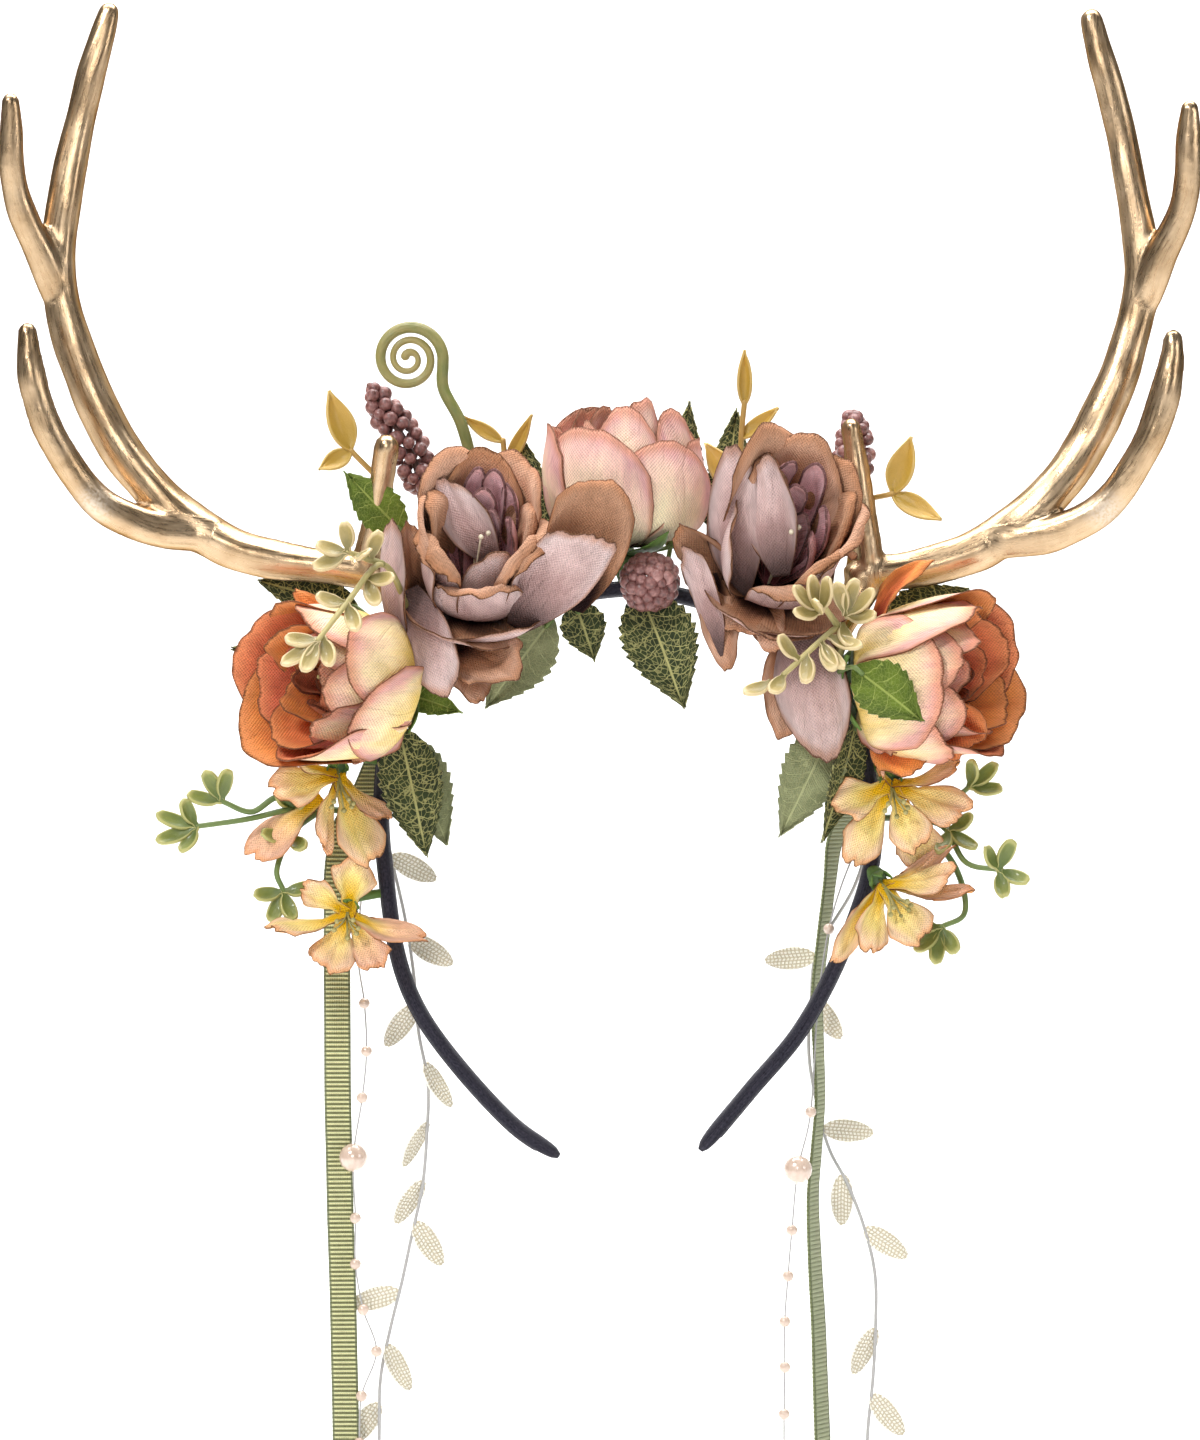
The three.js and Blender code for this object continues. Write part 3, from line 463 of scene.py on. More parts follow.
def petal_look(name, outer, inner, edge, blush=None, depth=0.35):
    """Printed silk, creased and woven.

    outer and inner run from a petal's foot to its rim on either face, edge tints the cut rim, and blush
    is a second colour that some petals take on their inner face. depth is how dark a petal's foot is
    painted: painted shade for the shadow deep in a cup and under other petals.
    """
    look = Look(name)
    across, along, number = look.split(look.cloth)
    u, v, side = look.split(look.place)
    streaks = look.cloth_noise(0.22, 0.04, 37, detail=5)
    folds = look.cloth_noise(0.16, 0.06, 71, detail=1)
    blots = look.cloth_noise(0.12, 0.12, 53, detail=3)
    fibres = look.cloth_noise(3.2, 0.35, 5, detail=2)
    crease = look.between(abs(folds - 0.5), 0.0, 0.06)
    shift = (look.mix(0.5, streaks, blots) - 0.5) * 0.7
    reach = v + shift + abs(u) ** 2.5 * 0.3
    outer_colour = look.ramp(reach, *zip(OUTER_STOPS, outer))
    inner_colour = look.ramp(reach, *zip(INNER_STOPS, inner))
    if blush:
        chosen = look.between(number, 0.4, 0.8, 0.0, 0.75) * look.between(v, 0.2, 0.7)
        inner_colour = look.mix(chosen, inner_colour, blush)
    face = look.mix(side, inner_colour, outer_colour)
    rim = abs(u).larger(v) + (fibres - 0.5) * 0.05
    tinted = look.mix(look.between(rim, 0.88, 0.98, 0.0, 0.6), face, edge)
    burnt = look.mix(look.between(rim, 0.98, 1.0, 0.0, 0.9), tinted, tuple(BURNT_SHADE * c for c in edge))
    weave = look.weave(across, along, SILK_WEAVE)
    # Painted shade along the crease lines of the cloth
    crease_shade = look.between(crease, 0.0, 1.0, 0.95, 1.0)
    cloudy = look.between(blots, 0.25, 0.75, 0.88, 1.08)
    # shade holds painted shade along the creases and at each petal's foot, times blots and the grain of the
    # weave
    shade = crease_shade * cloudy * look.between(v, 0.02, 0.6, depth, 1.0) * (weave * 0.18 + fibres * 0.5 + 0.77)
    look.bump(weave * 0.3 + fibres * 0.8 + (crease * 0.5 + streaks * 2.0), 0.45)
    rough = look.between(blots, 0.2, 0.8, 0.7, 0.88)
    return look.done(look.shaded(burnt, shade), rough, Specular_IOR_Level=0.15)


def leaf_look(name, dark, light, vein, vein_share, pitch):
    """Printed silk leaf: a net of fine veins between side veins that leave a midrib."""
    look = Look(name)
    across, along, _ = look.split(look.cloth)
    side = look.split(look.place)[2]
    off = abs(across)
    blots = look.cloth_noise(0.18, 0.18, 31, detail=3)
    wobble = look.cloth_noise(0.5, 0.5, 3) * 1.6
    net = look.between(look.cells(look.scaled(look.cloth, 1, 1, 17), 1 / pitch), 0.02, 0.09, 1.0, 0.0)
    slant = along - off * 0.9 + wobble
    branch = look.between(abs(look.wave(slant, SIDE_VEIN_PITCH)), 0.05, 0.16, 1.0, 0.0)
    midrib = look.between(off, 0.2, 0.5, 1.0, 0.0)
    veins = (net * vein_share).larger(branch.larger(midrib) * 0.85)
    base = look.mix(look.between(blots, 0.3, 0.7), dark, light)
    face = look.mix(side, base, look.mix(0.45, base, LEAF_UNDERSIDE))
    look.bump(veins * -0.8 + look.weave(across, along, LEAF_WEAVE) * 0.25, 0.3)
    rough = look.between(blots, 0.2, 0.8, 0.6, 0.8)
    return look.done(look.mix(veins, face, vein), rough, Specular_IOR_Level=0.2)


def moulded_look(name, foot, tip, rim, roughness):
    """Waxy moulded plastic that changes from its foot to its tip, with paler rims on leaves."""
    look = Look(name)
    u, v, _ = look.split(look.place)
    blots = look.cloth_noise(0.35, 0.2, 41, detail=3)
    face = look.ramp(v + (blots - 0.5) * 0.7, (0.15, foot), (0.85, tip))
    border = abs(u).larger(v * 0.98)
    colour = look.mix(look.between(border, 0.8, 0.97, 0.0, 0.8), face, rim)
    fine = look.cloth_noise(2.5, 2.5, 3, detail=2)
    look.bump(fine + blots, 0.15)
    rough = look.between(fine, 0.3, 0.7, roughness - 0.08, roughness + 0.1)
    return look.done(colour, rough, Coat_Weight=0.15)


def stalk_look(name, foot, tip, roughness):
    """Plastic covered stem whose colour changes along it, with fine lengthwise ridges."""
    look = Look(name)
    v = look.split(look.place)[1]
    blots = look.cloth_noise(0.5, 0.25, 13, detail=3)
    colour = look.ramp(v + (blots - 0.5) * 0.8, (0.1, foot), (0.9, tip))
    ridges = look.cloth_noise(3.0, 0.2, 7, detail=2)
    look.bump(ridges + blots * 0.6, 0.25)
    return look.done(colour, look.between(blots, 0.3, 0.7, roughness - 0.1, roughness + 0.1))


def berry_look():
    """Matt plum berries, each a little different, darker at the end that faces the stem."""
    look = Look("berry_plum")
    number = look.split(look.cloth)[2]
    v = look.split(look.place)[1]
    dust = look.noise(look.position(), 0.9, 4)
    body = look.ramp(
        dust * 0.8 + number * 0.25,
        (0.25, (0.06, 0.018, 0.016)), (0.5, (0.21, 0.085, 0.076)), (0.75, (0.44, 0.23, 0.21)))
    # Darker at the end of each berry that faces the stem
    colour = look.mix(look.between(v, 0.86, 1.0, 0.0, 0.6), body, (0.09, 0.03, 0.025))
    look.bump(dust, 0.2)
    return look.done(colour, look.between(dust, 0.3, 0.7, 0.35, 0.6), Coat_Weight=0.2)


def gold_look():
    """Champagne gold paint brushed along the limbs, dark in the seam and at tips, and pale at a patch
    that is rubbed paint and painted highlight.
    """
    look = Look("antler_gold")
    place = look.position()
    seam, tip, worn_highlight = look.split(look.place)
    broad = look.noise(place, 0.12, 3)
    grain = look.noise(place, 1.2, 3)
    brushed = look.cloth_noise(1.5, 0.1, 1, detail=4, rough=0.6)
    base = look.ramp(broad * 0.65 + brushed * 0.35, (0.35, (0.42, 0.28, 0.155)), (0.65, (0.64, 0.47, 0.3)))
    painted = look.mix((seam * 0.75).larger(tip * 0.9), base, (0.06, 0.036, 0.018))
    # A pale patch that is rubbed paint and painted highlight
    rubbed_highlight = worn_highlight * look.between(grain, 0.35, 0.6, 0.25, 0.8)
    colour = look.mix(rubbed_highlight, painted, (0.75, 0.68, 0.58))
    look.bump(grain + brushed, 0.06)
    rough = look.between(brushed, 0.3, 0.7, 0.24, 0.36) + rubbed_highlight * 0.3
    return look.done(colour, rough, Metallic=0.96, Specular_Tint=(0.2, 0.13, 0.08))


def band_look():
    """Dark satin ribbon drawn over the band: fine floats along it, and a faint lengthwise slub."""
    look = Look("band_satin")
    across, along, _ = look.split(look.cloth)
    slub = look.cloth_noise(2.4, 0.05, 1, detail=3)
    speckle = look.cloth_noise(1.6, 1.1, 1, detail=3)
    blots = look.cloth_noise(0.15, 0.08, 1, detail=3)
    tone = slub * 0.4 + speckle * 0.6
    colour = look.ramp(tone, (0.35, (0.012, 0.011, 0.018)), (0.65, (0.05, 0.047, 0.066)))
    look.bump(look.weave(across, along, SATIN_WEAVE) * 0.3 + tone, 0.3)
    return look.done(colour, look.between(blots, 0.3, 0.7, 0.5, 0.65), Specular_IOR_Level=0.12)


def ribbon_look():
    """Grosgrain: ribs in the mesh with painted shade between them, darker selvedges and a plainer back."""
    look = Look("ribbon_sage")
    across = look.split(look.cloth)[0]
    u, v, side = look.split(look.place)
    thread = look.cloth_noise(5.0, 1.2, 1, detail=3)
    ribs = look.between(look.wave(v, 1 / RIB_COUNT), -1.0, 0.0)
    # The dark ends of the rib ramps are painted shade in the grooves between the ribs
    front = look.ramp(ribs, (0.1, (0.1, 0.11, 0.035)), (0.7, (0.84, 0.82, 0.46)))
    back = look.ramp(ribs, (0.1, (0.16, 0.19, 0.095)), (0.7, (0.31, 0.34, 0.19)))
    mottle = look.between(thread, 0.35, 0.75, 0.0, 0.35)
    ribbed = look.mix(mottle, look.mix(side, front, back), (0.4, 0.43, 0.2))
    colour = look.mix(look.between(abs(u), 0.8, 0.86, 0.0, 0.8), ribbed, (0.09, 0.115, 0.035))
    look.bump(thread + look.wave(across, 0.5), 0.08)
    return look.done(colour, look.between(thread, 0.3, 0.7, 0.6, 0.8), Sheen_Weight=0.2)


def pearl_look():
    """Blush pearl with a glossy coat over a cloudy body."""
    look = Look("pearl_blush")
    place = look.position()
    cloud = look.noise(place, 0.5, 3)
    colour = look.ramp(cloud, (0.3, (0.56, 0.41, 0.32)), (0.7, (0.68, 0.53, 0.43)))
    look.bump(look.noise(place, 3.0, 2), 0.04)
    rough = look.between(cloud, 0.3, 0.7, 0.16, 0.26)
    return look.done(colour, rough, Specular_IOR_Level=0.9, Coat_Weight=0.8, Coat_Roughness=0.12)


def thread_look():
    """White twisted thread."""
    look = Look("thread_white")
    across, along, _ = look.split(look.cloth)
    twist = look.wave(along + across, 0.9)
    colour = look.ramp(look.between(twist, -1.0, 1.0), (0.0, (0.37, 0.36, 0.35)), (1.0, (0.41, 0.4, 0.39)))
    return look.done(colour, look.between(twist, -1.0, 1.0, 0.45, 0.6))


def trim_look():
    """Woven leaf trim: a slanting net of cream thread, closed along its border."""
    look = Look("trim_cream")
    across, along, _ = look.split(look.cloth)
    u = look.split(look.place)[0]
    cords = look.between(look.wave(along - abs(across) * 0.7, 1.15), -0.95, -0.2)
    stitches = look.between(look.wave(across, 1.0), -0.95, -0.2)
    net = (cords * stitches).larger(look.between(abs(u), 0.88, 0.96))
    wool = look.cloth_noise(3, 3, 9, detail=3)
    yarn = look.ramp(wool, (0.3, (0.82, 0.77, 0.64)), (0.7, (0.98, 0.95, 0.86)))
    look.bump(net + wool * 0.4, 0.25)
    return look.done(look.mix(net, (0.6, 0.52, 0.36), yarn), look.between(wool, 0.3, 0.7, 0.42, 0.6))


def stage_look():
    """Matt white paper with a faint cloud."""
    look = Look("stage_white")
    cloud = look.noise(look.position(), 0.002, 2)
    return look.done(look.ramp(cloud, (0.3, (0.9, 0.9, 0.9)), (0.7, (0.93, 0.93, 0.93))), 0.9)


ROSE_OUTER = ((0.48, 0.3, 0.28), (0.64, 0.46, 0.44), (0.68, 0.52, 0.5))
# The nearly black first colour of ROSE_INNER is painted shade deep in the hollow of a rose's cup
ROSE_INNER = ((0.05, 0.01, 0.008), (0.44, 0.2, 0.105), (0.6, 0.35, 0.24))
ROSE_EDGE = (0.42, 0.17, 0.07)
ROSE_BROWN = (0.43, 0.225, 0.13)
PEONY_OUTER = ((0.95, 0.83, 0.55), (0.86, 0.6, 0.47), (0.66, 0.36, 0.35))
CORAL_OUTER = ((0.94, 0.66, 0.18), (0.95, 0.74, 0.44), (0.8, 0.43, 0.38))
PEONY_INNER = ((0.5, 0.1, 0.05), (0.82, 0.36, 0.24), (0.82, 0.46, 0.38))
CORAL_INNER = ((0.34, 0.025, 0.014), (0.84, 0.21, 0.07), (0.88, 0.31, 0.085))
CORAL_BLUSH = (0.84, 0.2, 0.13)
PEONY_EDGE = (0.6, 0.24, 0.11)
CORAL_EDGE = (0.66, 0.24, 0.1)
BLOSSOM_OUTER = ((0.86, 0.42, 0.02), (0.93, 0.58, 0.1), (0.9, 0.46, 0.2))
BLOSSOM_INNER = ((0.9, 0.52, 0.012), (0.96, 0.76, 0.27), (0.94, 0.66, 0.42))
BLOSSOM_EDGE = (0.8, 0.32, 0.1)

gold = gold_look()
satin = band_look()
grosgrain = ribbon_look()
pearly = pearl_look()
thread = thread_look()
woven = trim_look()
# The last number of each petal look is its depth: painted shade at the foot of its petals
rose_silk = petal_look("petal_mauve", ROSE_OUTER, ROSE_INNER, ROSE_EDGE, ROSE_BROWN, 0.2)
rose_heart = petal_look(
    "petal_plum", ((0.36, 0.1, 0.11), (0.72, 0.37, 0.4), (0.78, 0.46, 0.48)),
    ((0.3, 0.08, 0.09), (0.74, 0.37, 0.4), (0.84, 0.52, 0.55)), (0.5, 0.22, 0.2), depth=0.65)
peony_silk = petal_look("petal_peach", PEONY_OUTER, PEONY_INNER, PEONY_EDGE, (0.84, 0.5, 0.45))
coral_silk = petal_look("petal_coral", CORAL_OUTER, CORAL_INNER, CORAL_EDGE, CORAL_BLUSH, 0.5)
peony_heart = petal_look(
    "petal_russet", ((0.45, 0.1, 0.04), (0.52, 0.17, 0.08), (0.58, 0.24, 0.13)),
    ((0.25, 0.03, 0.015), (0.48, 0.1, 0.05), (0.6, 0.2, 0.1)), (0.35, 0.08, 0.03))
blossom_silk = petal_look(
    "petal_yellow", BLOSSOM_OUTER, BLOSSOM_INNER, BLOSSOM_EDGE, (0.86, 0.46, 0.33), 0.8)
leaf_dark = leaf_look("leaf_dark", (0.022, 0.032, 0.012), (0.045, 0.06, 0.02), (0.5, 0.47, 0.19), 0.66, 1.5)
leaf_pale = leaf_look("leaf_pale", (0.19, 0.21, 0.1), (0.29, 0.31, 0.16), (0.42, 0.43, 0.22), 0.5, 1.2)
leaf_bright = leaf_look("leaf_bright", (0.07, 0.11, 0.014), (0.14, 0.2, 0.026), (0.32, 0.38, 0.09), 0.4, 1.1)
calyx_green = stalk_look("calyx_green", (0.05, 0.11, 0.02), (0.12, 0.22, 0.04), 0.6)
stem_green = stalk_look("stem_green", (0.06, 0.11, 0.03), (0.13, 0.19, 0.05), 0.5)
stem_plum = stalk_look("stem_plum", (0.06, 0.03, 0.02), (0.15, 0.065, 0.05), 0.5)
stem_gold = stalk_look("stem_gold", (0.2, 0.13, 0.03), (0.44, 0.27, 0.07), 0.45)
stem_pale = stalk_look("stem_pale", (0.22, 0.2, 0.07), (0.45, 0.38, 0.16), 0.5)
stamen_olive = stalk_look("stamen_olive", (0.2, 0.2, 0.05), (0.42, 0.36, 0.14), 0.6)
stamen_cream = stalk_look("stamen_cream", (0.6, 0.5, 0.34), (0.8, 0.72, 0.55), 0.55)
sprig_pale = moulded_look("sprig_pale", (0.2, 0.165, 0.05), (0.44, 0.34, 0.13), (0.72, 0.57, 0.32), 0.36)
sprig_green = moulded_look("sprig_green", (0.09, 0.13, 0.025), (0.2, 0.23, 0.05), (0.46, 0.43, 0.15), 0.4)
wax_gold = moulded_look("wax_leaf_gold", (0.4, 0.25, 0.03), (0.55, 0.33, 0.055), (0.58, 0.4, 0.12), 0.4)
fern_green = stalk_look("fern_green", (0.1, 0.14, 0.03), (0.3, 0.24, 0.08), 0.42)
plum = berry_look()

# Hanging ribbons and leaf trims, which are cords, and bead strings. Routes are those of the part.

RIBBONS = {
    "left": table(
        "x y z twist",
        (-70.5, 5.9, -46, 0), (-74, 7.2, -54, 0), (-79.5, 8, -64, 0), (-81.8, 8.5, -76, 0),
        (-82, 8.5, -90, 0), (-82, 8.5, -105, 0), (-81.9, 8.5, -122, 0), (-81.8, 8.5, -140, 2),
        (-81.4, 8.5, -158, 4), (-81, 8.5, -176, 4), (-80.4, 8.5, -194, 3), (-80, 8.5, -212, 2),
        (-79.6, 8.5, -230, 0), (-79.4, 8.5, -245, 0)),
    "right": table(
        "x y z twist",
        (68.5, 5.9, -48, -180), (64, 8.6, -58, -155), (58.8, 12, -68, -130), (57.2, 13, -80, -118),
        (55.4, 13, -95, -118), (53.6, 13, -112, -116), (54, 13, -128, -114), (54.4, 13, -142, -112),
        (53.4, 13, -156, -114), (52.4, 13, -170, -116), (53, 13, -188, -120), (54, 13, -206, -122),
        (54.6, 13, -224, -124), (55.4, 13, -245, -126)),
}
RIB_SAMPLES = 6
RIBBON_COLUMNS = 9


def make_ribbon(name, rows):
    """A ribbed ribbon that hangs from the band."""
    length = line_length(route(rows, 200))
    count = RIB_COUNT * RIB_SAMPLES + 1
    line = route(rows, count, "twist")
    path, twist = line[:, :3], np.radians(line[:, 3])
    sideways = np.column_stack([np.cos(twist), np.sin(twist), np.zeros(count)])
    normal = unit(np.cross(sideways, np.gradient(path, axis=0)))
    u = np.broadcast_to(np.linspace(-1, 1, RIBBON_COLUMNS), (count, RIBBON_COLUMNS))
    along = np.linspace(0, length, count)
    inside = 1 - smoothstep(np.abs(u), 0.82, 0.92)
    rib = RIB_DEPTH * np.sin(2 * math.pi * RIB_COUNT * along / length)[:, None] * inside
    across = u[..., None] * sideways[:, None] * RIBBON_WIDTH / 2
    grid = path[:, None] + across + (rib / 2)[..., None] * normal[:, None]
    v = np.broadcast_to(along[:, None] / length, u.shape)
    shape = Shape()
    shape.wall(grid, u, v, RIBBON_THICKNESS)
    piece = make_piece(f"ribbon_{name}", shape, [grosgrain], "ribbon_sage", f"ribbon_{name}")


TRIMS = {
    "left": SimpleNamespace(
        stem=places(
            (-69.5, 6.1, -58), (-67, 9.5, -72), (-63, 11, -90), (-60.5, 11, -106), (-59.2, 11, -122),
            (-56.5, 11, -137), (-56.8, 11, -152), (-58, 11, -166), (-61, 11, -180), (-64, 11, -194),
            (-67, 11, -206), (-69.8, 11, -220), (-70.2, 11, -234), (-70.2, 11, -244)),
        leaves=table(
            "at lean tilt",
            (0.085, 50, 0), (0.21, 50, 0), (0.31, -40, 0.5), (0.4, 20, 1.2), (0.49, -25, 1.6),
            (0.575, -25, 0.9), (0.64, 45, 0.3), (0.745, -60, 0.4), (0.83, 40, 0.8), (0.915, -35, 0.2))),
    "right": SimpleNamespace(
        stem=places(
            (68.5, 6.1, -66), (64, 14, -82), (54, 18.5, -100), (52.2, 19, -114), (51.6, 19, -130),
            (54.4, 19, -146), (57.6, 19, -157), (62.4, 18, -166), (67, 16, -178), (70, 14, -191),
            (70.2, 13, -205), (69.4, 12, -220), (68, 12, -234), (67.6, 12, -244)),
        leaves=table(
            "at lean tilt",
            (0.225, -70, 0.2), (0.285, 40, 0.3), (0.49, 70, 0), (0.56, -30, 0.2), (0.65, 40, 0.1),
            (0.8, -25, 0.6), (0.9, 45, 0.3))),
}


def turned(direction, angle):
    """A direction turned in the plane of the front view, in degrees."""
    c, s = math.cos(math.radians(angle)), math.sin(math.radians(angle))
    x, y, z = direction
    return np.array([c * x + s * z, y, c * z - s * x])


def leaf_outline(v):
    return 0.04 + 0.96 * np.sin(math.pi * np.clip(v, 0, 1) ** 0.8)


def trim_outline(v):
    return 0.05 + 0.95 * np.sin(math.pi * np.clip(v, 0, 1) ** 0.9) ** 0.55


def make_trim(name, trim):
    """A cord that hangs from the band, and the woven leaves that grow from it."""
    path = route(trim.stem, 160)
    cord = Shape()
    cord.stem(path, TRIM_STEM_RADIUS, 8)
    stem = make_piece(f"trim_cord_{name}", cord, [thread], "trim_cream", f"leaf_trim_{name}")
    leaves = Shape()
    for i, leaf in enumerate(trim.leaves):
        at = int(leaf.at * (len(path) - 1))
        way = turned(unit(path[min(at + 1, len(path) - 1)] - path[at]), -leaf.lean)
        blade(
            leaves, path[at], path[at] + way * TRIM_LEAF_LENGTH, (leaf.tilt, -1.0, 0.1), TRIM_LEAF_WIDTH,
            wrap=30, sag=0.6, outline=trim_outline, thickness=0.5, rows=40, columns=15, weave=0.12,
            number=i / 10)
    joined = make_piece(f"trim_leaves_{name}", leaves, [woven], "trim_cream")


BEAD_LINES = {
    "left": table(
        "x y z bead",
        (-70.8, 6.1, -60, 0), (-74.5, 7, -80, 0), (-76, 7, -100, 0), (-74.2, 7, -114.2, 1),
        (-73.6, 7, -127.7, 1), (-74.8, 7, -140.8, 1), (-77.3, 7, -157.6, 2), (-76.7, 7, -174.7, 1),
        (-76.7, 7, -187.6, 1), (-74.5, 7, -200.5, 1), (-70.8, 7, -212.2, 1), (-75, 7, -224.8, 1),
        (-75.6, 7, -238, 1), (-75.6, 7, -243, 0)),
    "right": table(
        "x y z bead",
        (69, 6, -62, 0), (62, 6.4, -76, 0), (56.6, 6.4, -93.2, 1), (53.5, 6.6, -115, 0),
        (51.5, 7, -144.8, 1), (47.9, 7, -161, 2), (46.2, 7, -178.1, 1), (45.1, 7, -191, 1),
        (44.2, 7, -203.8, 1), (44.2, 7, -216.7, 1), (44, 7, -229.9, 1), (44, 7, -240, 1), (44, 7, -244, 0)),
}
SMALL_BEAD = 1
LARGE_BEAD = 2


def make_bead_string(name, rows):
    """A thread with small beads on it, and the large pearl as a piece of its own."""
    path = route(rows, 200)
    string = Shape()
    string.stem(path, THREAD_RADIUS, 6)
    string.look = 1
    for i, row in enumerate(rows):
        if row.bead == SMALL_BEAD:
            string.ball(xyz(row), BEAD_RADIUS, sides=20, number=i / 16)
    make_piece(f"bead_string_{name}", string, [thread, pearly], "pearl_blush", f"bead_string_{name}")
    pearl = Shape()
    pearl.ball(xyz(next(row for row in rows if row.bead == LARGE_BEAD)), PEARL_RADIUS, sides=36, hole=7)
    make_piece(f"pearl_{name}", pearl, [pearly], "pearl_blush", f"pearl_{name}")


# Band

BAND_LINE = table(
    "x z",
    (-19.3, -156.5), (-32.2, -147.6), (-47.6, -131), (-58.5, -115.6), (-64.4, -100), (-67.5, -79.2),
    (-68.9, -59.6), (-66.6, -38.6), (-56.8, -21), (-35, -6.4), (0, BAND_THICKNESS / 2), (35, -6.4),
    (55.4, -21), (64.4, -38.6), (68.3, -59.6), (67.8, -76), (59.4, -100.2), (48.2, -121.2),
    (34.4, -137.8), (20.2, -154.8))
BAND_CORNERS = 3.2  # power of the rounded section
BAND_TAPER = 9.0  # length over which each end narrows
SEAM_HEIGHT = 0.35
SEAM_START = 4  # steps of the band's line that its seam leaves free at each end

band_path = smooth_line([(row.x, 0, row.z) for row in BAND_LINE], 260)


def band_point_near(place):
    """The point of the band's middle line that lies nearest to a place."""
    return band_path[np.argmin(np.linalg.norm(band_path - place, axis=1))]


def make_band():
    """The satin covered band, and the seam of the satin along its inner side."""
    along = travelled(band_path)
    from_end = np.minimum(along, along[-1] - along)
    taper = 0.35 + 0.65 * np.sqrt(np.clip(1 - (1 - np.clip(from_end / BAND_TAPER, 0, 1)) ** 2, 0, 1))
    shape = Shape()
    shape.tube(band_path, BAND_WIDTH / 2 * taper, 40, depth=BAND_THICKNESS / BAND_WIDTH, power=BAND_CORNERS)
    outward = unit(np.cross(np.gradient(band_path, axis=0), BACKWARD))
    reach = (BAND_THICKNESS / 2 * taper)[:, None]
    inner = band_path + outward * reach
    shape.stem(inner[SEAM_START:-SEAM_START], SEAM_HEIGHT, 8)
    make_piece("headband", shape, [satin], "band_satin", "headband")


# Petals and leaves

PETAL_ROWS = 28
PETAL_COLUMNS = 25
CORNER_POWER = 2.4
ROLL_SHARE = 0.85  # share of the rim's roll that bends, before the rest lies flat
PROFILE_STEPS = 90
NOTCH_WIDTH = 0.13  # share of a petal's half width
EDGE_START = 0.62  # share of the half width from which the side edges flare
CREASE_WIDTH = 0.45
TRIM_WEAVE_SLANT = 0.7
TRIM_WEAVE_PITCH = 1.1


def petal_outline(v):
    """Half width along a petal: a narrow claw that swells to full width and stays broad to the tip."""
    swell = np.sin(math.pi / 2 * np.clip(v / 0.6, 0, 1))
    past = np.clip((v - 0.6) / 0.4, 0, 1)
    return (0.28 + 0.72 * swell) * (1 - 0.18 * past * past)


def spoon_outline(v):
    """Half width along a spoon petal: a long narrow claw and a round blade."""
    claw = 0.3 + 0.1 * v
    blade_share = np.clip((v - 0.3) / 0.7, 0, 1)
    return claw + (1 - claw) * np.sin(math.pi * 0.72 * blade_share ** 1.1) ** 0.8


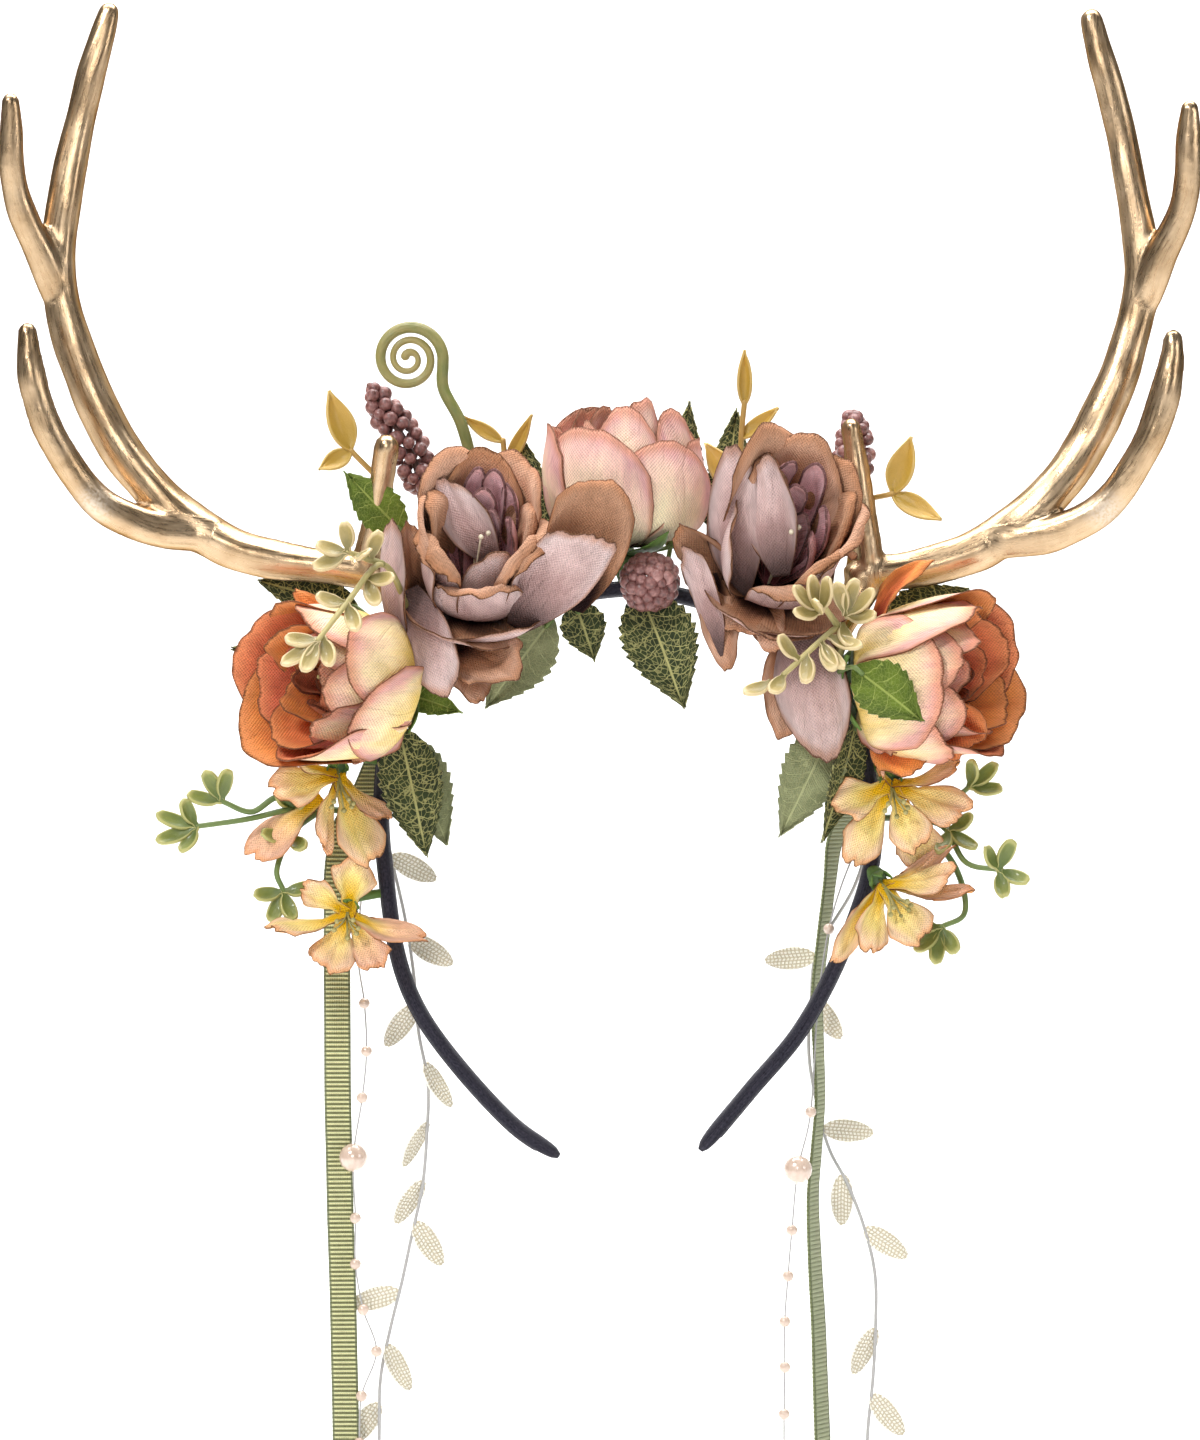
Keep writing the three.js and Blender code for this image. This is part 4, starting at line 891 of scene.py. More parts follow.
def bent_sheet(
    shape, origin, up, out, profile, half_width, bend, outline=petal_outline, rounding=0.3, roll=0.0,
    roll_length=4.0, flare=0.0, lop=0.0, skew=0.0, slant=0.0, ruffle=0.5, crease=0.0, fold=0.0, notch=0.0,
    teeth=0, tooth=0.0, weave=0.0,
    thickness=PETAL_THICKNESS, rows=PETAL_ROWS, columns=PETAL_COLUMNS, number=0.0):
    """A petal or leaf that grows from origin along up, with its outer face towards out.

    profile holds distances along out and up from the foot to the tip. bend is the radius that the width
    curls round, roll how far the rim turns outward, in degrees, over roll_length. flare turns the side edges
    outward, one more than the other by lop. slant makes one corner of the rim longer, skew lays one edge
    further out, and notch dents the rim. ruffle, crease and weave are heights of unevenness, fold is that of
    a ridge along the middle, and tooth is the depth of the teeth along the edges.
    """
    side = np.cross(up, out)
    line = smooth_line(profile, PROFILE_STEPS)
    steps = np.diff(line, axis=0)
    lengths = np.linalg.norm(steps, axis=1)
    middles = np.cumsum(lengths) - lengths / 2
    heading = np.unwrap(np.arctan2(steps[:, 1], steps[:, 0]))
    length = lengths.sum()
    u = np.broadcast_to(np.linspace(-1, 1, columns), (rows, columns))
    v = np.broadcast_to(np.linspace(0, 1, rows)[:, None], (rows, columns))
    seed = int(number * 1000) + 7
    corners = slant * u - rounding * np.abs(u) ** CORNER_POWER - notch * np.exp(-((u / NOTCH_WIDTH) ** 2))
    reach = length * (1 + corners)
    reach = reach + ruffle * (0.9 * rumple(u * 2.2, 0 * v, seed + 1) + 0.3 * rumple(u * 9, 0 * v, seed + 5))
    s = v * reach
    start = np.maximum(reach - roll_length * (1 + 0.3 * rumple(u, 0 * v, seed + 2)), 0.05 * length)
    uneven = (1 + 0.32 * rumple(u * 1.8, 0 * v, seed + 4)) * (1 - 0.65 * smoothstep(np.abs(u), 0.5, 1.0))
    turn = np.interp(s, middles, heading)
    turn = turn - math.radians(roll) * uneven * smoothstep((s - start) / (reach - start), 0, ROLL_SHARE)
    step = reach / (rows - 1)
    advance_r = np.cos(turn) * step
    advance_h = np.sin(turn) * step
    r = profile[0][0] + np.cumsum(advance_r, axis=0) - (advance_r + advance_r[:1]) / 2
    h = profile[0][1] + np.cumsum(advance_h, axis=0) - (advance_h + advance_h[:1]) / 2
    width = half_width * outline(s / length)
    if teeth:
        width = width * (1 + tooth * (0.5 - (v * teeth) % 1.0) * smoothstep(np.abs(u), 0.6, 1.0))
    angle = u * width / bend
    edge = np.clip((np.abs(u) - EDGE_START) / (1 - EDGE_START), 0, 1) ** 2
    r = r - bend * (1 - np.cos(angle)) + skew * u * smoothstep(v, 0, 0.5)
    r = r + flare * (1 + lop * np.sign(u)) * edge * smoothstep(v, 0.2, 0.7)
    r = r - fold * (1 - np.abs(u))
    r = r + ruffle * (0.5 * rumple(u * 1.3, v * 1.3, seed) * v + 0.5 * v ** 3 * rumple(u * 3.4, v, seed + 3))
    r = r + 0.25 * ruffle * v * rumple(u * 4.5, v * 1.2, seed + 6)
    r = r - crease * v * np.clip(1 - np.abs(rumple(u * 1.5, v * 1.1, seed + 8)) / CREASE_WIDTH, 0, 1)
    r = r + weave * np.sin(2 * math.pi * (s - TRIM_WEAVE_SLANT * np.abs(u) * width) / TRIM_WEAVE_PITCH)
    across = bend * np.sin(angle)
    grid = origin + r[..., None] * out + across[..., None] * side + h[..., None] * up
    shape.wall(grid, u, v, thickness, number)


def blade(shape, foot, tip, face, width, wrap=40.0, sag=0.0, **details):
    """A loose petal or leaf from foot to tip, whose hollow side looks towards face."""
    foot, tip = np.asarray(foot, dtype=float), np.asarray(tip, dtype=float)
    up = unit(tip - foot)
    out = -square_to(np.asarray(face, dtype=float), up)
    length = np.linalg.norm(tip - foot)
    profile = [(0, 0), (sag, length / 2), (0, length)]
    details.setdefault("rounding", 0.0)
    details.setdefault("ruffle", 0.0)
    bent_sheet(shape, foot, up, out, profile, width / 2, width / 2 / math.radians(wrap / 2), **details)


# Flowers

FLOWERS = table(
    "name kind slot x y z ax ay az radius length",
    ("rose_left", "rose", "petal_mauve", -43.8, -9, -3.6, 0.12, -0.62, 0.775, 15.5, 43),
    ("rose_right", "rose", "petal_mauve", 38.4, -9, 2, 0.235, -0.69, 0.67, 17, 40),
    ("peony_top", "peony", "petal_peach", -1, -1, 14, 0.0, -0.02, 0.99, 23, 36),
    ("peony_left", "peony", "petal_coral", -64, -7, -26, -0.8, -0.6, 0.07, 21, 40),
    ("peony_right", "peony", "petal_coral", 64.4, -7, -25, 0.9, -0.42, 0.1, 21, 40),
    ("blossom_left_upper", "blossom", "petal_yellow", -81, -6, -48, 0.15, -0.55, -0.82, 19, 16),
    ("blossom_left_lower", "blossom", "petal_yellow", -78, -7, -87, 0, -0.85, -0.5, 21, 13),
    ("blossom_right_upper", "blossom", "petal_yellow", 73, -7, -51, 0.1, -0.7, -0.7, 20, 15),
    ("blossom_right_lower", "blossom", "petal_yellow", 70, -6, -79, 0.45, -0.6, -0.65, 20, 16))

# Petals round a flower's axis. turn counts from the flower's right towards its back, and radius, height
# and lean are shares of the flower's radius and length. roll turns the rim outward.
RING_COLUMNS = "turn radius height span lean roll flare rounding"
RINGS = {
    "rose_left": table(
        RING_COLUMNS,
        (246, 1.3, 0.16, 118, 0.05, 25, 1, 0.25), (314, 1.28, 0.18, 118, 0.05, 25, 1, 0.25),
        (180, 1.0, 0.86, 108, 0.02, 150, 2, 0.25), (0, 0.98, 0.84, 108, 0.02, 140, 2, 0.25),
        (58, 0.98, 1.02, 112, 0, 80, 1.5, 0.22), (124, 0.98, 1.06, 112, 0, 100, 1.5, 0.22),
        (212, 0.86, 0.82, 96, 0, 150, 2, 0.3), (276, 0.9, 0.54, 120, 0.02, 160, 2, 0.18),
        (340, 0.86, 0.78, 100, 0, 150, 2, 0.3), (92, 0.88, 1.02, 120, -0.02, 50, 1, 0.25),
        (300, 0.62, 0.62, 104, -0.04, 30, 0.6, 0.3), (166, 0.74, 0.9, 84, 0.02, 90, 1.2, 0.3),
        (24, 0.78, 0.86, 80, 0.02, 90, 1.2, 0.3)),
    "rose_right": table(
        RING_COLUMNS,
        (250, 1.28, 0.18, 112, 0.05, 25, 1, 0.25), (312, 1.26, 0.2, 112, 0.05, 25, 1, 0.25),
        (168, 0.96, 0.64, 104, -0.04, 10, 0.6, 0.3), (118, 0.98, 1.14, 116, 0, 90, 1.5, 0.22),
        (52, 0.98, 1.02, 112, 0, 100, 1.5, 0.22), (0, 1.0, 0.92, 108, 0.02, 140, 2, 0.25),
        (328, 0.9, 0.74, 104, 0, 160, 2, 0.25), (288, 0.88, 0.54, 100, 0, 150, 1.5, 0.25),
        (84, 0.88, 1.12, 120, 0, 60, 1, 0.25), (18, 0.8, 0.94, 84, 0.02, 100, 1.2, 0.3),
        (128, 0.76, 0.98, 76, 0, 70, 1.2, 0.3)),
    "peony_top": table(
        RING_COLUMNS,
        (236, 1.02, 0.92, 108, -0.16, 6, 0.2, 0.32), (304, 1.02, 0.8, 98, -0.12, 6, 0.2, 0.3),
        (178, 0.98, 0.94, 100, -0.08, 12, 0.3, 0.2), (0, 0.98, 0.84, 98, -0.1, 10, 0.3, 0.25),
        (52, 0.98, 0.98, 100, -0.12, 10, 0.3, 0.25), (115, 0.98, 1.12, 100, -0.14, 10, 0.3, 0.25),
        (272, 0.8, 1.06, 80, -0.24, 4, 0.2, 0.45), (335, 0.8, 1.08, 80, -0.16, 8, 0.3, 0.45),
        (205, 0.78, 0.98, 90, -0.2, 6, 0.2, 0.3), (145, 0.76, 1.04, 90, -0.2, 8, 0.3, 0.3),
        (85, 0.76, 1.04, 84, -0.18, 8, 0.3, 0.35), (30, 0.76, 1.02, 84, -0.18, 8, 0.3, 0.35),
        (296, 0.56, 1.16, 90, -0.1, 4, 0.2, 0.5), (10, 0.5, 1.06, 110, -0.18, 4, 0.2, 0.4),
        (130, 0.5, 1.06, 110, -0.18, 4, 0.2, 0.4)),
    "peony_left": table(
        RING_COLUMNS,
        (62, 1.0, 0.98, 96, -0.08, 8, 0.5, 0.35), (12, 1.06, 0.8, 92, -0.04, 10, 0.5, 0.4),
        (325, 1.06, 0.7, 92, -0.02, 15, 0.6, 0.4), (272, 1.02, 0.92, 108, 0.04, 30, 0.6, 0.2),
        (215, 1.0, 1.0, 118, 0.08, 45, 0.8, 0.15), (152, 1.0, 1.02, 118, 0.08, 45, 0.8, 0.15),
        (98, 1.0, 0.96, 90, 0, 20, 0.6, 0.25), (34, 0.86, 0.94, 88, -0.12, 6, 0.4, 0.4),
        (345, 0.86, 0.87, 88, -0.12, 6, 0.4, 0.4), (300, 0.84, 0.84, 88, -0.06, 8, 0.4, 0.35),
        (245, 0.8, 0.9, 110, 0, 20, 0.5, 0.2), (180, 0.8, 0.93, 110, 0, 20, 0.5, 0.2),
        (118, 0.8, 0.92, 104, -0.04, 16, 0.5, 0.25), (10, 0.6, 0.8, 110, -0.14, 5, 0.3, 0.3),
        (110, 0.58, 0.82, 116, -0.1, 5, 0.3, 0.25), (200, 0.58, 0.8, 116, -0.06, 8, 0.3, 0.25),
        (285, 0.58, 0.74, 110, -0.1, 5, 0.3, 0.3)),
    "peony_right": table(
        RING_COLUMNS,
        (196, 1.06, 0.82, 112, -0.08, 8, 0.4, 0.3), (130, 1.0, 0.98, 98, -0.08, 10, 0.5, 0.3),
        (250, 1.05, 0.74, 94, 0, 14, 0.5, 0.3), (300, 1.02, 0.94, 100, 0.06, 30, 0.8, 0.2),
        (345, 1.0, 1.02, 110, 0.08, 40, 0.8, 0.15), (40, 1.0, 1.02, 110, 0.06, 40, 0.8, 0.15),
        (88, 1.0, 0.98, 92, 0.02, 20, 0.6, 0.25), (180, 0.9, 0.92, 94, -0.12, 6, 0.4, 0.35),
        (228, 0.88, 0.88, 90, -0.1, 6, 0.4, 0.35), (152, 0.8, 1.0, 94, -0.14, 6, 0.3, 0.35),
        (105, 0.82, 0.96, 92, -0.04, 12, 0.4, 0.3), (282, 0.82, 0.88, 96, -0.02, 14, 0.4, 0.25),
        (335, 0.8, 0.95, 108, 0, 18, 0.5, 0.2), (40, 0.8, 0.96, 108, 0, 18, 0.5, 0.2),
        (196, 0.62, 0.88, 108, -0.14, 5, 0.3, 0.3), (290, 0.58, 0.78, 110, -0.1, 5, 0.3, 0.25),
        (20, 0.58, 0.84, 116, -0.06, 8, 0.3, 0.25), (105, 0.58, 0.84, 110, -0.1, 5, 0.3, 0.25)),
}
HEART_COLUMNS = "turn radius height width"
HEARTS = {
    "rose_left": table(
        HEART_COLUMNS, (106, 0.78, 0.98, 7.5), (74, 0.76, 0.97, 9), (48, 0.82, 0.9, 7.5),
        (92, 0.54, 0.86, 10), (60, 0.46, 0.74, 9), (18, 0.66, 0.72, 7.5), (130, 0.7, 0.76, 7)),
    "rose_right": table(
        HEART_COLUMNS, (108, 0.82, 0.98, 8.5), (66, 0.8, 1.0, 9.5), (88, 0.54, 0.86, 9), (40, 0.4, 0.68, 8),
        (16, 0.66, 0.8, 7.5), (134, 0.8, 0.78, 7.5), (350, 0.5, 0.62, 7)),
    "peony_left": table(
        HEART_COLUMNS, (40, 0.3, 0.64, 11), (160, 0.3, 0.6, 11), (280, 0.3, 0.56, 11), (15, 0.46, 0.78, 9),
        (95, 0.42, 0.72, 8), (170, 0.46, 0.76, 9), (240, 0.42, 0.7, 8), (320, 0.44, 0.74, 9)),
    "peony_right": table(
        HEART_COLUMNS, (40, 0.3, 0.68, 11), (160, 0.3, 0.66, 11), (280, 0.3, 0.6, 11), (15, 0.46, 0.78, 9),
        (95, 0.42, 0.74, 8), (170, 0.46, 0.8, 9), (240, 0.42, 0.72, 8), (320, 0.44, 0.76, 9)),
}
CUP_PROFILE = ((0.1, 0.0), (0.8, 0.2), (1.0, 0.58), (1.0, 1.0))
HEART_PROFILE = ((1.0, 0.45), (1.05, 0.75), (0.8, 1.0))
PETAL_SKEW = 1.3  # one edge of each petal lies inside its neighbour by this much
INNER_RING = 0.85  # petals of a peony inside this share of its radius are more crumpled
INNER_CRUMPLE = 1.8
STAMEN_TURN = 2.4  # radians from one stamen to the next
STAMEN_RADIUS = 0.3
ANTHER_RADIUS = 0.75
SEPALS = 5
SEPAL_REACH = 0.82  # share of the flower's radius

# What the flowers of a kind have in common. rise lifts loose petals above the calyx, reach and spread place
# the stamens, and cup, depth and drop are the radius, height and place of the calyx.
KINDS = {
    "rose": SimpleNamespace(
        outline=petal_outline, roll_length=6.5, notch=0.0, rise=0.0, stamens=3, reach=0.62, spread=0.14,
        cup=5.0, depth=4.0, drop=2.0, sepal_rise=0.5, sepal_half_width=4.2),
    "peony": SimpleNamespace(
        outline=petal_outline, roll_length=3.5, notch=0.0, rise=0.0, stamens=3, reach=0.62, spread=0.14,
        cup=5.0, depth=4.0, drop=2.0, sepal_rise=6.0, sepal_half_width=4.2),
    "blossom": SimpleNamespace(
        outline=spoon_outline, roll_length=4.5, notch=0.06, rise=2.0, stamens=6, reach=0.75, spread=0.16,
        cup=2.6, depth=5.0, drop=0.6, sepal_rise=2.0, sepal_half_width=1.6),
}
LOOKS = {
    "rose": (rose_silk, rose_heart, stamen_cream),
    "peony_top": (peony_silk, peony_heart, stamen_olive),
    "peony": (coral_silk, peony_heart, stamen_olive),
    "blossom": (blossom_silk, blossom_silk, stamen_olive),
}

# Loose outer petals and the petals of open blossoms, from a foot to a tip, with the way that their hollow
# side looks
LOOSE_COLUMNS = "x y z tipx tipy tipz fx fy fz width wrap sag roll rounding slant"
LOOSE_PETALS = {
    "rose_left": table(
        LOOSE_COLUMNS,
        (-52, -13, -11, -31, -25, -22, 0.1, -0.95, 0.3, 20, 60, 1, 20, 0.2, 0.06),
        (-46, -13, -14, -41, -18, -29, 0.2, -0.9, 0.2, 12, 40, 1, 0, 0.4, 0),
        (-36.5, -21, 8, -51, -26, 31, 0.25, 0.9, 0.2, 14, 60, 2, 6, 0.45, -0.06),
        (-57, -12, -4, -60.5, -20, 21, 0.35, -0.9, 0, 10, 80, 2, 0, 0.4, 0),
        (-63, -16, -17, -64, -24, 21, 0.6, 0.75, 0.1, 10.5, 60, 2, 10, 0.35, -0.1),
        (-16, -16, -4, -7, -32, 32, -0.05, -0.9, -0.3, 25, 80, 1, 60, 0.2, 0),
        (-31, -17, -9, -10, -33, 17, -0.1, 0.9, 0.5, 22, 60, 2, 25, 0.1, 0.05),
        (-60, -17, 2, -52, -28, -28, 0.3, 0.85, 0.3, 18, 50, 1, 6, 0.35, -0.16)),
    "rose_right": table(
        LOOSE_COLUMNS,
        (47, -8, -8, 42.5, -15, -38.5, 0.35, -0.9, 0.1, 19, 80, 2, 30, 0.35, 0),
        (23, -15, 6, 27, -21, -20, -0.3, -0.9, 0.2, 12, 90, 1, 20, 0.5, 0),
        (31, -16, 0, 28.5, -28, 40, 0.4, 0.9, 0.2, 19, 70, 3, 8, 0.55, 0.04),
        (42, -23, 5, 36, -30, 38, 0.3, 0.9, 0.2, 17, 60, 2, 6, 0.5, 0.05),
        (25, -19, -17, 15.5, -22, 15, 0.5, 0.85, 0.2, 10, 90, -2, 40, 0.3, 0.08),
        (31, -12, 1, 13.5, -20, 19.5, -0.6, -0.75, -0.2, 15, 130, 2, 0, 0.3, 0),
        (36, -9, 2, 31, -24, -8, 0.2, -0.9, 0.2, 18, 80, 2, 60, 0.3, 0),
        (38, -12, 3, 37.5, -25, -14, -0.3, -0.8, 0.3, 12, 110, 2, 60, 0.3, 0.1),
        (47, -9, -4, 53, -19, -46, 0.1, 0.9, 0.2, 24, 70, 3, 10, 0.5, -0.12)),
    "peony_left": table(
        LOOSE_COLUMNS,
        (-66, -8, -28, -75.6, -18, -45, 0.2, 0.8, 0.5, 20, 50, 2, 10, 0.4, 0),
        (-68, -8, -18, -92, -13, 1, 0, -0.9, 0.3, 9, 40, 2, 20, 0.4, 0)),
    "peony_right": table(
        LOOSE_COLUMNS,
        (66, -12, -14, 83, -18, 10, -0.3, -0.5, 0.8, 11, 80, -3, 50, 0.4, 0),
        (70, -12, -34, 79, -20, -48, 0, -0.9, 0.3, 18, 50, 2, 10, 0.3, 0),
        (66, -10, -28, 72, -20, -43, 0, 0.9, 0.3, 13, 50, 2, 10, 0.4, 0),
        (82, -18, -32, 97, -22, -41, -0.2, -0.9, 0.3, 17, 50, 2, 20, 0.2, 0)),
    "blossom_left_upper": table(
        LOOSE_COLUMNS,
        (-81, -6, -48, -97, -14, -40, 0.2, -0.5, 0.8, 12, 50, 2, 30, 0.3, 0),
        (-81, -6, -48, -98, -17, -53, 0, -0.8, 0.5, 14, 50, 1, 30, 0.3, 0),
        (-81, -6, -48, -71, -14, -74, 0.2, -0.9, 0.2, 14, 50, 2, 20, 0.3, 0),
        (-81, -6, -48, -84, -10, -72, 0.8, -0.5, 0, 9, 50, 2, 20, 0.3, 0),
        (-81, -6, -48, -65, -10, -61, 0.2, -0.6, 0.7, 9, 50, 2, 30, 0.4, 0),
        (-86, -3, -54, -106, -3, -73, 0, -0.9, 0.3, 13, 40, 1, 20, 0.3, 0)),
    "blossom_left_lower": table(
        LOOSE_COLUMNS,
        (-78, -7, -87, -75, -7, -72.5, 0.1, -0.9, -0.3, 15, 40, 1, 20, 0.3, 0),
        (-78, -7, -87, -90, -12, -81, 0.2, -0.8, -0.3, 10, 50, 1, 20, 0.3, 0),
        (-78, -7, -87, -99, -16, -92, 0.1, -0.4, 0.9, 13, 50, 2, 20, 0.3, 0),
        (-78, -7, -87, -84, -18, -104, 0, -0.8, 0.5, 15, 50, 2, 30, 0.3, 0),
        (-78, -7, -87, -68, -17, -102.5, 0, -0.8, 0.5, 11, 50, 2, 30, 0.3, 0),
        (-78, -7, -87, -55, -14, -95, 0, -0.6, 0.8, 11, 70, 2, 20, 0.6, 0)),
    "blossom_right_upper": table(
        LOOSE_COLUMNS,
        (73, -7, -51, 57, -13, -58, 0.2, -0.9, 0.3, 14, 50, 1, 30, 0.25, 0),
        (73, -7, -51, 62, -14, -74, 0.2, -0.9, 0.2, 13, 50, 2, 20, 0.3, 0),
        (73, -7, -51, 80, -15, -70, -0.1, -0.9, 0.2, 13, 50, 2, 30, 0.3, 0),
        (73, -7, -51, 95, -13, -60, -0.2, -0.8, 0.4, 14, 50, 2, 30, 0.25, 0),
        (73, -7, -51, 92, -11, -45, -0.1, -0.4, 0.9, 13, 50, 2, 20, 0.3, 0),
        (73, -7, -51, 69, -12, -45, 0, -0.5, 0.8, 8, 50, 1, 20, 0.3, 0),
        (76, -3, -56, 84, -3, -76, 0, -0.9, 0.2, 15, 40, 1, 20, 0.3, 0)),
    "blossom_right_lower": table(
        LOOSE_COLUMNS,
        (70, -6, -79, 57, -11, -101.5, 0.5, -0.8, 0, 10, 70, 2, 30, 0.5, 0),
        (70, -6, -79, 67, -15, -98, 0.2, -0.9, 0.2, 11, 50, 2, 20, 0.3, 0),
        (70, -6, -79, 81, -17, -95, -0.1, -0.8, 0.4, 14, 50, 2, 30, 0.3, 0),
        (70, -6, -79, 91, -13, -76, -0.1, -0.7, 0.6, 12, 50, 2, 20, 0.3, 0),
        (70, -6, -79, 97, -9, -81, -0.1, -0.5, 0.8, 8, 60, 2, 20, 0.5, 0),
        (70, -6, -79, 91, -5, -69, -0.1, -0.6, 0.8, 7, 60, 2, 20, 0.6, 0)),
}


def axis_of(row):
    return unit(np.array([row.ax, row.ay, row.az]))


def around(axis, turn):
    """A direction square to an axis, turned round it from the right towards the back."""
    right = square_to(RIGHTWARD, axis)
    return right * math.cos(turn) + np.cross(axis, right) * math.sin(turn)


def add_ring_petals(shape, row):
    """The petals that stand round a flower's axis."""
    for i, petal in enumerate(RINGS.get(row.name, [])):
        is_inner = row.kind == "peony" and petal.radius < INNER_RING
        crumple = INNER_CRUMPLE if is_inner else 1.0
        radius = row.radius * petal.radius
        height = row.length * petal.height
        line = [(r * radius, h * height) for r, h in CUP_PROFILE]
        line[-1] = (line[-1][0] + petal.lean * row.radius, line[-1][1])
        bent_sheet(
            shape, xyz(row), axis_of(row), around(axis_of(row), math.radians(petal.turn)), line,
            radius * math.radians(petal.span) / 2, radius, rounding=petal.rounding, roll=petal.roll,
            roll_length=KINDS[row.kind].roll_length, flare=petal.flare, skew=PETAL_SKEW,
            ruffle=0.9 * crumple, crease=0.6 * crumple, number=(i * 0.37 + abs(row.x) * 0.013) % 1)


def add_loose_petals(shape, row):
    """The petals that each have a place of their own."""
    kind = KINDS[row.kind]
    for i, petal in enumerate(LOOSE_PETALS.get(row.name, [])):
        foot = xyz(petal) + axis_of(row) * kind.rise
        blade(
            shape, foot, tip_of(petal), face_of(petal), petal.width, petal.wrap, petal.sag,
            outline=kind.outline, rounding=petal.rounding, roll=petal.roll, roll_length=kind.roll_length,
            ruffle=1.4, crease=0.8, flare=1.3, lop=math.sin(2.1 * i), slant=petal.slant, notch=kind.notch,
            number=(0.05 + i * 0.17) % 1)


def add_heart(shape, row):
    """The small furled petals in the middle of a flower."""
    for i, petal in enumerate(HEARTS.get(row.name, [])):
        radius = row.radius * petal.radius
        height = row.length * petal.height
        line = [(0.3, 1), *((r * radius, h * height) for r, h in HEART_PROFILE)]
        bent_sheet(
            shape, xyz(row), axis_of(row), around(axis_of(row), math.radians(petal.turn)), line,
            petal.width / 2, petal.width * 0.42, rounding=0.12, roll=-15, ruffle=0.3, thickness=0.7, rows=20,
            columns=13, number=0.1 + i * 0.15)


def add_stamens(shape, row):
    """Thin stalks that end in a small ball."""
    kind = KINDS[row.kind]
    base = xyz(row)
    axis = axis_of(row)
    reach = row.length * kind.reach
    for i in range(kind.stamens):
        out = around(axis, STAMEN_TURN * i)
        tip = base + axis * reach + out * row.radius * kind.spread
        stalk = smooth_line([base, base + axis * reach * 0.6 + out * 0.8, tip], 8)
        shape.stem(stalk, STAMEN_RADIUS, 6)
        shape.ball(tip, ANTHER_RADIUS, axis, sides=8)


def make_flower(row):
    shape = Shape()
    add_ring_petals(shape, row)
    add_loose_petals(shape, row)
    shape.look = 1
    add_heart(shape, row)
    shape.look = 2
    add_stamens(shape, row)
    make_piece(row.name, shape, LOOKS.get(row.name, LOOKS[row.kind]), row.slot, row.name)


def make_calyx(row):
    """The green cup under a flower, its sepals, and a stem that runs to the band."""
    kind = KINDS[row.kind]
    axis = axis_of(row)
    cup = kind.cup
    depth = kind.depth
    rim = xyz(row) - axis * kind.drop
    foot = rim - axis * depth
    root = band_point_near(foot)
    stem = smooth_line([foot, (foot + root) / 2, root], 10)
    line = np.vstack([rim + axis * 0.3, rim - axis * depth * 0.25, rim - axis * depth * 0.6, stem])
    narrowing = np.linspace(cup * 0.6, STEM_RADIUS * 1.2, len(stem))
    shape = Shape()
    shape.tube(line, np.concatenate([[cup * 0.85, cup, cup * 0.82], narrowing]), 16, side=side_of(axis))
    reach = cup * 1.2 if row.kind == "blossom" else row.radius * SEPAL_REACH
    profile = [
        (cup * 0.6, -depth * 0.4), (cup * 1.05, 0), (0.4 * cup + 0.6 * reach, kind.sepal_rise * 0.3),
        (reach, kind.sepal_rise)]
    for i in range(SEPALS):
        bent_sheet(
            shape, rim, axis, around(axis, 2 * math.pi * (i + 0.3) / SEPALS), profile, kind.sepal_half_width,
            cup * 1.2, outline=leaf_outline, rounding=0.0, ruffle=0.4, teeth=7, tooth=0.2, thickness=0.4,
            rows=24, columns=9, number=i / 6)
    make_piece(f"calyx_{row.name}", shape, [calyx_green], "calyx_green", f"calyx_{row.name}")


# Leaves, each with a stalk that runs to the band

LEAVES = table(
    "name look x y z tipx tipy tipz fx fy fz width sag",
    ("leaf_centre", leaf_dark, 3, -7, 2, 15.4, -14, -30.5, 0.1, -1, 0.1, 21, -2),
    ("leaf_centre_small", leaf_dark, -14.8, -7.5, -1.5, -9.5, -9, -17.4, 0, -1, 0.1, 12.6, -1),
    ("leaf_rose_pale", leaf_pale, -21, -8, -6, -39.2, -9.5, -30.5, 0, -1, 0.1, 17, -1),
    ("leaf_left_front", leaf_dark, -63.8, -9, -36, -56, -12, -71.7, 0.1, -1, 0, 17.4, -2),
    ("leaf_left_back", leaf_pale, -63, -6.5, -38, -50.5, -8, -69, 0.1, -1, 0, 16, -1),
    ("leaf_left_bright", leaf_bright, -62, -8, -27, -47, -9, -32, 0, -1, 0.2, 8, -1),
    ("leaf_left_rolled", leaf_bright, -62, -8, 17, -78.4, -10, 34.2, -0.2, -1, 0.2, 12.6, -2),
    ("leaf_left_outer", leaf_dark, -76, 7, -3, -104, 7, 4.8, 0, -1, 0.2, 13, -1),
    ("leaf_left_low", leaf_dark, -76, 6, -20, -111, 4, -14.3, 0, -1, 0.2, 15, -1),
    ("leaf_right_pale", leaf_pale, 58, -8, -34, 42.6, -10, -66, 0, -1, 0, 17, -1),
    ("leaf_right_dark", leaf_dark, 64, -9, -34, 54.3, -12, -67.5, 0.7, -0.7, 0, 13, -1),
    ("leaf_right_bright", leaf_bright, 61, -36, -20, 79, -41, -34.5, 0.1, -1, 0.1, 15.5, -1),
    ("leaf_right_outer", leaf_dark, 70.6, 7, -8, 96, 7, 2.5, 0, -1, 0.2, 13, -1),
    ("leaf_top_left", leaf_dark, -26, 7, 8, -30.2, 6, 45.4, 0, -1, 0.1, 16, -2),
    ("leaf_top_middle", leaf_dark, 12, 13, 14, 17.5, 14.5, 54.9, 0, -1, 0.1, 14, -1),
    ("leaf_top_right", leaf_dark, 26, 13, 12, 31, 17.5, 53.8, 0, -1, 0.1, 13, -1))
LEAF_TOOTH = 3.0  # length of a tooth along the edge


